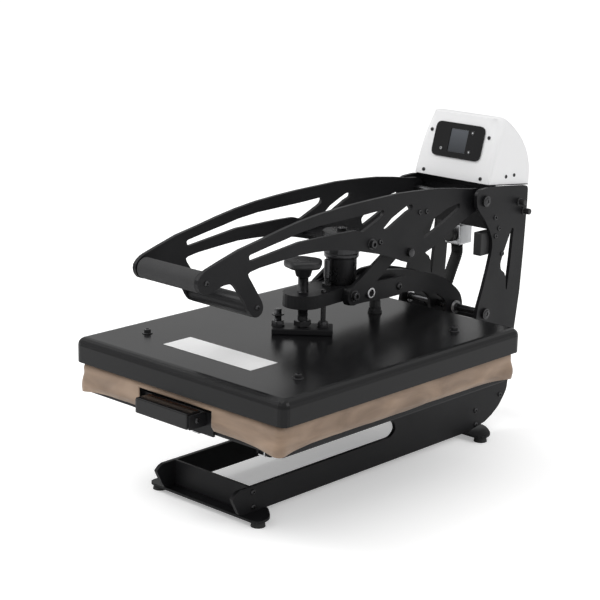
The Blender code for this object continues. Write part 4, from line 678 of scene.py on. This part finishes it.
solid = bmesh.new()
outline = [(rim_front[0] + 0.0008, rim_front[1] - 0.0004),
           (rim_rear[0] - 0.0008, rim_rear[1] - 0.0004),
           (rim_rear[0] - 0.0008, rim_rear[1] - 0.0018), (0.2842, 0.4155), (0.2842, 0.4073),
           (0.2812, 0.4073), (0.2812, 0.4160), (rim_front[0] + 0.0008, rim_front[1] - 0.0019)]
ends = [[solid.verts.new((x, y, z)) for y, z in outline] for x in (-0.0755, 0.0755)]
solid.faces.new(ends[0])
solid.faces.new(ends[1])
for k in range(len(outline)):
    j = (k + 1) % len(outline)
    solid.faces.new((ends[0][k], ends[0][j], ends[1][j], ends[1][k]))
bmesh.ops.recalc_face_normals(solid, faces=solid.faces)
finish_piece("housing_seat_tray", solid, POWDER, "frame", smooth=False)

# Connector block and its plug
solid = bmesh.new()
block(solid, (-0.0150, side(0.694, 0.0)[0] + 0.012, side(0.0, 0.592)[1]),
      (0.0150, side(0.798, 0.0)[0] - 0.006, side(0.0, 0.660)[1]))
casting = finish_piece("connector_block_casting", solid, ALUMINIUM, "frame",
                       smooth=False)
broken_edges(casting, 0.0025)
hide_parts("connector_block")
solid = bmesh.new()
lathe(solid, [(0.0, 0.0120), (0.0090, 0.0120), (0.0112, 0.0106), (0.0116, 0.0020),
              (0.0100, 0.0004), (0.0, 0.0004)],
      at((0.0, side(0.694, 0.0)[0] + 0.012, side(0.0, 0.626)[1]), "-Y"), sides=32)
finish_piece("connector_plug", solid, PLASTIC, "frame")

# Housing screws and display marks
FACE_FOOT = side(0.700, 0.826)
FACE_HEAD = side(0.738, 0.958)
lean = math.atan2(FACE_HEAD[0] - FACE_FOOT[0], FACE_HEAD[1] - FACE_FOOT[1])
FACE_UP = Vector((0.0, math.sin(lean), math.cos(lean)))
FACE_OUT = Vector((0.0, -math.cos(lean), math.sin(lean)))
FACE_TURN = Matrix((Vector((1.0, 0.0, 0.0)), FACE_UP, FACE_OUT)).transposed().to_4x4()


def on_face(x, rise, out):
    """A matrix standing on the housing's leaning face."""
    spot = Vector((x, *FACE_FOOT)) + FACE_UP * rise + FACE_OUT * out
    return Matrix.Translation(spot) @ FACE_TURN


solid = bmesh.new()
for x in (-0.0583, 0.0583):
    for rise in (0.0015, 0.0686):
        button_head(solid, on_face(x, rise, GAP), *HOUSING_SCREW)
house_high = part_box("control_housing")[1]
for y in (0.3085, 0.3305):
    for spot, way in mirrored([(house_high.x - 0.0002, y, 0.4275)]):
        button_head(solid, at(spot, way), *HOUSING_SCREW)
finish_piece("housing_screws", solid, OXIDE, "frame")

BUTTON_OUT = 0.0032
MARK_REACH = 0.0019
MARK_THICKNESS = 0.00008
THIRD_TURN = 2.0944


def arrow_mark(name, body, rise, sign):
    """A small printed triangle on a button, pointing up or down."""
    solid = bmesh.new()
    matrix = on_face(0.0265, rise, BUTTON_OUT)
    turns = [sign * math.pi / 2 + THIRD_TURN * third for third in range(3)]
    marks = [solid.verts.new(matrix @ Vector((MARK_REACH * math.cos(a), MARK_REACH * math.sin(a), z)))
             for z in (0.0, MARK_THICKNESS) for a in turns]
    solid.faces.new(marks[0:3])
    solid.faces.new(marks[3:6])
    for i in range(3):
        j = (i + 1) % 3
        solid.faces.new((marks[i], marks[j], marks[3 + j], marks[3 + i]))
    bmesh.ops.recalc_face_normals(solid, faces=solid.faces)
    finish_piece(name, solid, MARK, body, smooth=False)


arrow_mark("up_button_mark", "up_button", 0.0717, 1.0)
arrow_mark("down_button_mark", "down_button", 0.0403, -1.0)
solid = bmesh.new()
lathe(solid, [(0.0013, 0.0001), (0.0020, 0.0001), (0.0020, 0.0), (0.0013, 0.0), (0.0013, 0.0001)],
      on_face(-0.0305, 0.0403, BUTTON_OUT), sides=24)
finish_piece("set_button_mark", solid, MARK, "set_button", smooth=False)

# Hose and cable
def spline(route, steps):
    """A smooth line through places."""
    spots = [Vector(p) for p in route]
    line = []
    for i in range(len(spots) - 1):
        a = spots[max(i - 1, 0)]
        b = spots[i]
        c = spots[i + 1]
        d = spots[min(i + 2, len(spots) - 1)]
        for step in range(steps):
            t = step / steps
            line.append((b * 2 + (c - a) * t + (a * 2 - b * 5 + c * 4 - d) * t ** 2
                         + (b * 3 - a - c * 3 + d) * t ** 3) / 2)
    line.append(spots[-1])
    return line


def swept(name, line, radius_at, look, sides=20):
    """A closed tube along a line in a plane of constant x, its radius set along it."""
    solid = bmesh.new()
    rings = []
    across = Vector((1.0, 0.0, 0.0))
    for index, spot in enumerate(line):
        before = line[max(index - 1, 0)]
        after = line[min(index + 1, len(line) - 1)]
        along = (after - before).normalized()
        normal = along.cross(across).normalized()
        radius = radius_at(index)
        rings.append([solid.verts.new(spot + across * (radius * math.cos(2 * math.pi * k / sides))
                                      + normal * (radius * math.sin(2 * math.pi * k / sides)))
                      for k in range(sides)])
    for first, second in zip(rings, rings[1:]):
        for k in range(sides):
            j = (k + 1) % sides
            solid.faces.new((first[k], first[j], second[j], second[k]))
    solid.faces.new(rings[0][::-1])
    solid.faces.new(rings[-1])
    bmesh.ops.recalc_face_normals(solid, faces=solid.faces)
    mesh = bpy.data.meshes.new(name)
    solid.to_mesh(mesh)
    solid.free()
    mesh.materials.append(look)
    mesh.shade_smooth()
    mesh.set_sharp_from_angle(angle=math.radians(50))
    made = bpy.data.objects.new(name, mesh)
    bpy.context.scene.collection.objects.link(made)
    return made


fit_y = SIDE_SPAN * (0.694 + 0.798) / 2 + SHIFT
fit_z = side(0.0, 0.592)[1]
end = Vector((0.0, *ARM_SHAFT))
hose_line = spline([(0.0, fit_y, fit_z - 0.0006), (0.0, fit_y, fit_z - 0.006),
                    (0.0, fit_y, fit_z - 0.018), end + Vector((0.0, 0.014, 0.058)),
                    end + Vector((0.0, 0.0, 0.030))], 14)
hose = swept("supply_hose_ribbed", hose_line,
             lambda i: 0.0098 - (0.0007 if i % 2 else 0.0), RUBBER)
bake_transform(hose)
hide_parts("supply_hose")

gland_top = gland_high.z
cable_line = spline([(0.0, gland_y, gland_top + 0.0006), (0.0, gland_y, gland_top + 0.006),
                     (0.0, gland_y + 0.006, gland_top + 0.012),
                     (0.0, gland_y + 0.036, side(0.0, 0.516)[1] - 0.004),
                     (0.0, ARM_SHAFT[0] - 0.048, ARM_SHAFT[1] + 0.036),
                     end + Vector((0.0, -0.012, 0.023))], 12)
cable = swept("platen_cable_sheath", cable_line, lambda i: 0.0040, RUBBER)
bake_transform(cable)
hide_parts("platen_cable")

# Brown wrap sheet
WRAP_X = 0.2054
WRAP_Y = 0.2621
WRAP_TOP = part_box("wrap_sheet")[1].z
DROP = 0.0370
WRAP_CORNER = 0.011
CORNER_REACH = 0.09
CORNER_DROP = 0.0055
CORNER_FLARE = 0.0040
TOP_BEND_SHARE = 0.14
TOP_INSET = 0.0050
TOP_BEND_DROP = 0.0028
HEM_TUCK = 0.0045
HEM_SHARE = 0.20
NOTCH_X = 0.074
NOTCH_TOP = WRAP_TOP - 0.013 + 0.004


def crease(spot, scale, seed):
    """Smooth noise from -1 to 1."""
    return noise.noise(Vector(spot) * scale + Vector((seed, seed * 0.37, -seed)))


def rounded_loop(half_x, half_y, corner, per_corner, per_long, per_short):
    """Points round a rounded rectangle with the way out at each and how near a corner it is."""
    loop = []
    for sx, sy, start, count in ((1, 1, 0.0, per_short), (-1, 1, 90.0, per_long),
                                 (-1, -1, 180.0, per_short), (1, -1, 270.0, per_long)):
        centre = Vector((sx * (half_x - corner), sy * (half_y - corner)))
        for step in range(per_corner + 1):
            angle = math.radians(start + 90.0 * step / per_corner)
            out = Vector((math.cos(angle), math.sin(angle)))
            loop.append((centre + out * corner, out))
        turned = math.radians(start + 90.0)
        side_out = Vector((math.cos(turned), math.sin(turned)))
        along = Vector((-side_out[1], side_out[0]))
        first = centre + side_out * corner
        run = 2 * (half_x if abs(along[0]) > 0.5 else half_y) - 2 * corner
        for step in range(1, count):
            loop.append((first + along * (run * step / count), side_out))
    return loop


loop = rounded_loop(WRAP_X, WRAP_Y, WRAP_CORNER, 10, 150, 120)
rows = 30
solid = bmesh.new()
grid = []
for row in range(rows + 1):
    share = row / rows
    line = []
    for index, (flat, out) in enumerate(loop):
        away = math.hypot(abs(flat[0]) - WRAP_X, abs(flat[1]) - WRAP_Y)
        near = max(0.0, 1.0 - min(away, CORNER_REACH) / CORNER_REACH)
        corner = near ** 2.2
        drop = DROP + CORNER_DROP * corner + 0.0012 * crease((*flat, 0.0), 16.0, 3.1)
        fall = share * drop
        bend = min(share / TOP_BEND_SHARE, 1.0)
        inset = TOP_INSET * (1.0 - math.sin(bend * math.pi / 2))
        z = WRAP_TOP - TOP_BEND_DROP * (1.0 - math.cos(bend * math.pi / 2)) - fall
        wave = 0.0011 * crease((flat[0], flat[1], z * 0.5), 34.0, 1.7)
        wave += 0.0010 * crease((flat[0] * 0.4, flat[1] * 0.4, z), 60.0, 8.2)
        fold = 0.0016 * math.sin(62.0 * (flat[0] + flat[1]) + 150.0 * (WRAP_TOP - z)) * corner
        tuck = -HEM_TUCK * max(share - 0.80, 0.0) / HEM_SHARE * (1.0 - corner)
        flare = CORNER_FLARE * corner * share
        reach = (wave + fold) * min(1.0, share * 3.0) + tuck + flare - inset
        spot = flat + out * reach
        line.append(solid.verts.new((spot[0], spot[1] + SHIFT, z)))
    grid.append(line)
count = len(loop)
kept = []
for row in range(rows):
    for k in range(count):
        j = (k + 1) % count
        corners = (grid[row][k], grid[row + 1][k], grid[row + 1][j], grid[row][j])
        middle = sum((c.co for c in corners), Vector()) / 4
        if middle.y < -WRAP_Y + SHIFT + 0.010 and abs(middle.x) < NOTCH_X and middle.z < NOTCH_TOP:
            continue
        kept.append(solid.faces.new(corners))
# The flat top under the cover, with its own rows towards the middle
ring = grid[0]
for scale in (0.90, 0.60, 0.25):
    inner = [solid.verts.new((v.co.x * scale, (v.co.y - SHIFT) * scale + SHIFT, WRAP_TOP))
             for v in grid[0]]
    for k in range(count):
        j = (k + 1) % count
        solid.faces.new((inner[k], ring[k], ring[j], inner[j]))
    ring = inner
solid.faces.new(ring)
loose = [v for v in solid.verts if not v.link_faces]
bmesh.ops.delete(solid, geom=loose, context="VERTS")
bmesh.ops.recalc_face_normals(solid, faces=solid.faces)
sheet = finish_piece("wrap_sheet_cloth", solid, CLOTH, "drawer")
wall = sheet.modifiers.new("cloth", "SOLIDIFY")
wall.thickness = 0.0004
wall.offset = -1.0
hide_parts("wrap_sheet")

# Floor, world and lamps
FLOOR_HALF = 30.0
FLOOR_LIFT = 0.30
floor_mesh = bpy.data.meshes.new("floor")
floor_mesh.from_pydata([(-FLOOR_HALF, -FLOOR_HALF, 0), (FLOOR_HALF, -FLOOR_HALF, 0),
                        (FLOOR_HALF, FLOOR_HALF, 0), (-FLOOR_HALF, FLOOR_HALF, 0)],
                       [], [(0, 1, 2, 3)])
floor = bpy.data.objects.new("floor", floor_mesh)
floor.location = (0.0, 0.0, -0.0002)
bpy.context.scene.collection.objects.link(floor)
floor_look = bpy.data.materials.new("white_floor")
floor_look.use_nodes = True
shader = floor_look.node_tree.nodes["Principled BSDF"]
shader.inputs["Base Color"].default_value = (0.96, 0.96, 0.96, 1.0)
floor_tree = floor_look.node_tree
floor_rays = floor_tree.nodes.new("ShaderNodeLightPath")
seen = floor_tree.nodes.new("ShaderNodeMath")
seen.operation = "MAXIMUM"
floor_tree.links.new(floor_rays.outputs["Is Camera Ray"], seen.inputs[0])
floor_tree.links.new(floor_rays.outputs["Is Transmission Ray"], seen.inputs[1])
lifted = floor_tree.nodes.new("ShaderNodeMath")
lifted.operation = "MULTIPLY"
lifted.inputs[1].default_value = FLOOR_LIFT
floor_tree.links.new(seen.outputs["Value"], lifted.inputs[0])
shader.inputs["Emission Color"].default_value = (1.0, 1.0, 1.0, 1.0)
floor_tree.links.new(lifted.outputs["Value"], shader.inputs["Emission Strength"])
shader.inputs["Roughness"].default_value = 1.0
shader.inputs["Specular IOR Level"].default_value = 0.0
floor_mesh.materials.append(floor_look)

HORIZON_LIGHT = 0.62
ZENITH_LIGHT = 1.22
world = bpy.data.worlds.new("studio")
bpy.context.scene.world = world
world.use_nodes = True
tree = world.node_tree
tree.nodes.clear()
place = tree.nodes.new("ShaderNodeTexCoord")
split = tree.nodes.new("ShaderNodeSeparateXYZ")
tree.links.new(place.outputs["Generated"], split.inputs["Vector"])
ramp = tree.nodes.new("ShaderNodeMapRange")
ramp.inputs["From Min"].default_value = 0.0
ramp.inputs["From Max"].default_value = 0.9
ramp.inputs["To Min"].default_value = HORIZON_LIGHT
ramp.inputs["To Max"].default_value = ZENITH_LIGHT
tree.links.new(split.outputs["Z"], ramp.inputs["Value"])
light = tree.nodes.new("ShaderNodeBackground")
tree.links.new(ramp.outputs["Result"], light.inputs["Strength"])
plain = tree.nodes.new("ShaderNodeBackground")
plain.inputs["Strength"].default_value = 1.0
rays = tree.nodes.new("ShaderNodeLightPath")
mix = tree.nodes.new("ShaderNodeMixShader")
tree.links.new(rays.outputs["Is Camera Ray"], mix.inputs["Fac"])
tree.links.new(light.outputs["Background"], mix.inputs[1])
tree.links.new(plain.outputs["Background"], mix.inputs[2])
out = tree.nodes.new("ShaderNodeOutputWorld")
tree.links.new(mix.outputs["Shader"], out.inputs["Surface"])


def lamp(name, spot, target, size, power):
    """A soft square lamp aimed at a place."""
    data = bpy.data.lights.new(name, "AREA")
    data.size = size
    data.energy = power
    made = bpy.data.objects.new(name, data)
    made.location = spot
    made.rotation_euler = (Vector(target) - Vector(spot)).to_track_quat("-Z", "Y").to_euler()
    bpy.context.scene.collection.objects.link(made)


lamp("key", (-1.6, -1.4, 2.6), (0.0, 0.0, 0.2), 1.6, 38.0)
lamp("fill", (2.4, 0.6, 2.0), (0.0, 0.1, 0.2), 1.4, 12.0)

bpy.context.scene.view_settings.view_transform = "Standard"
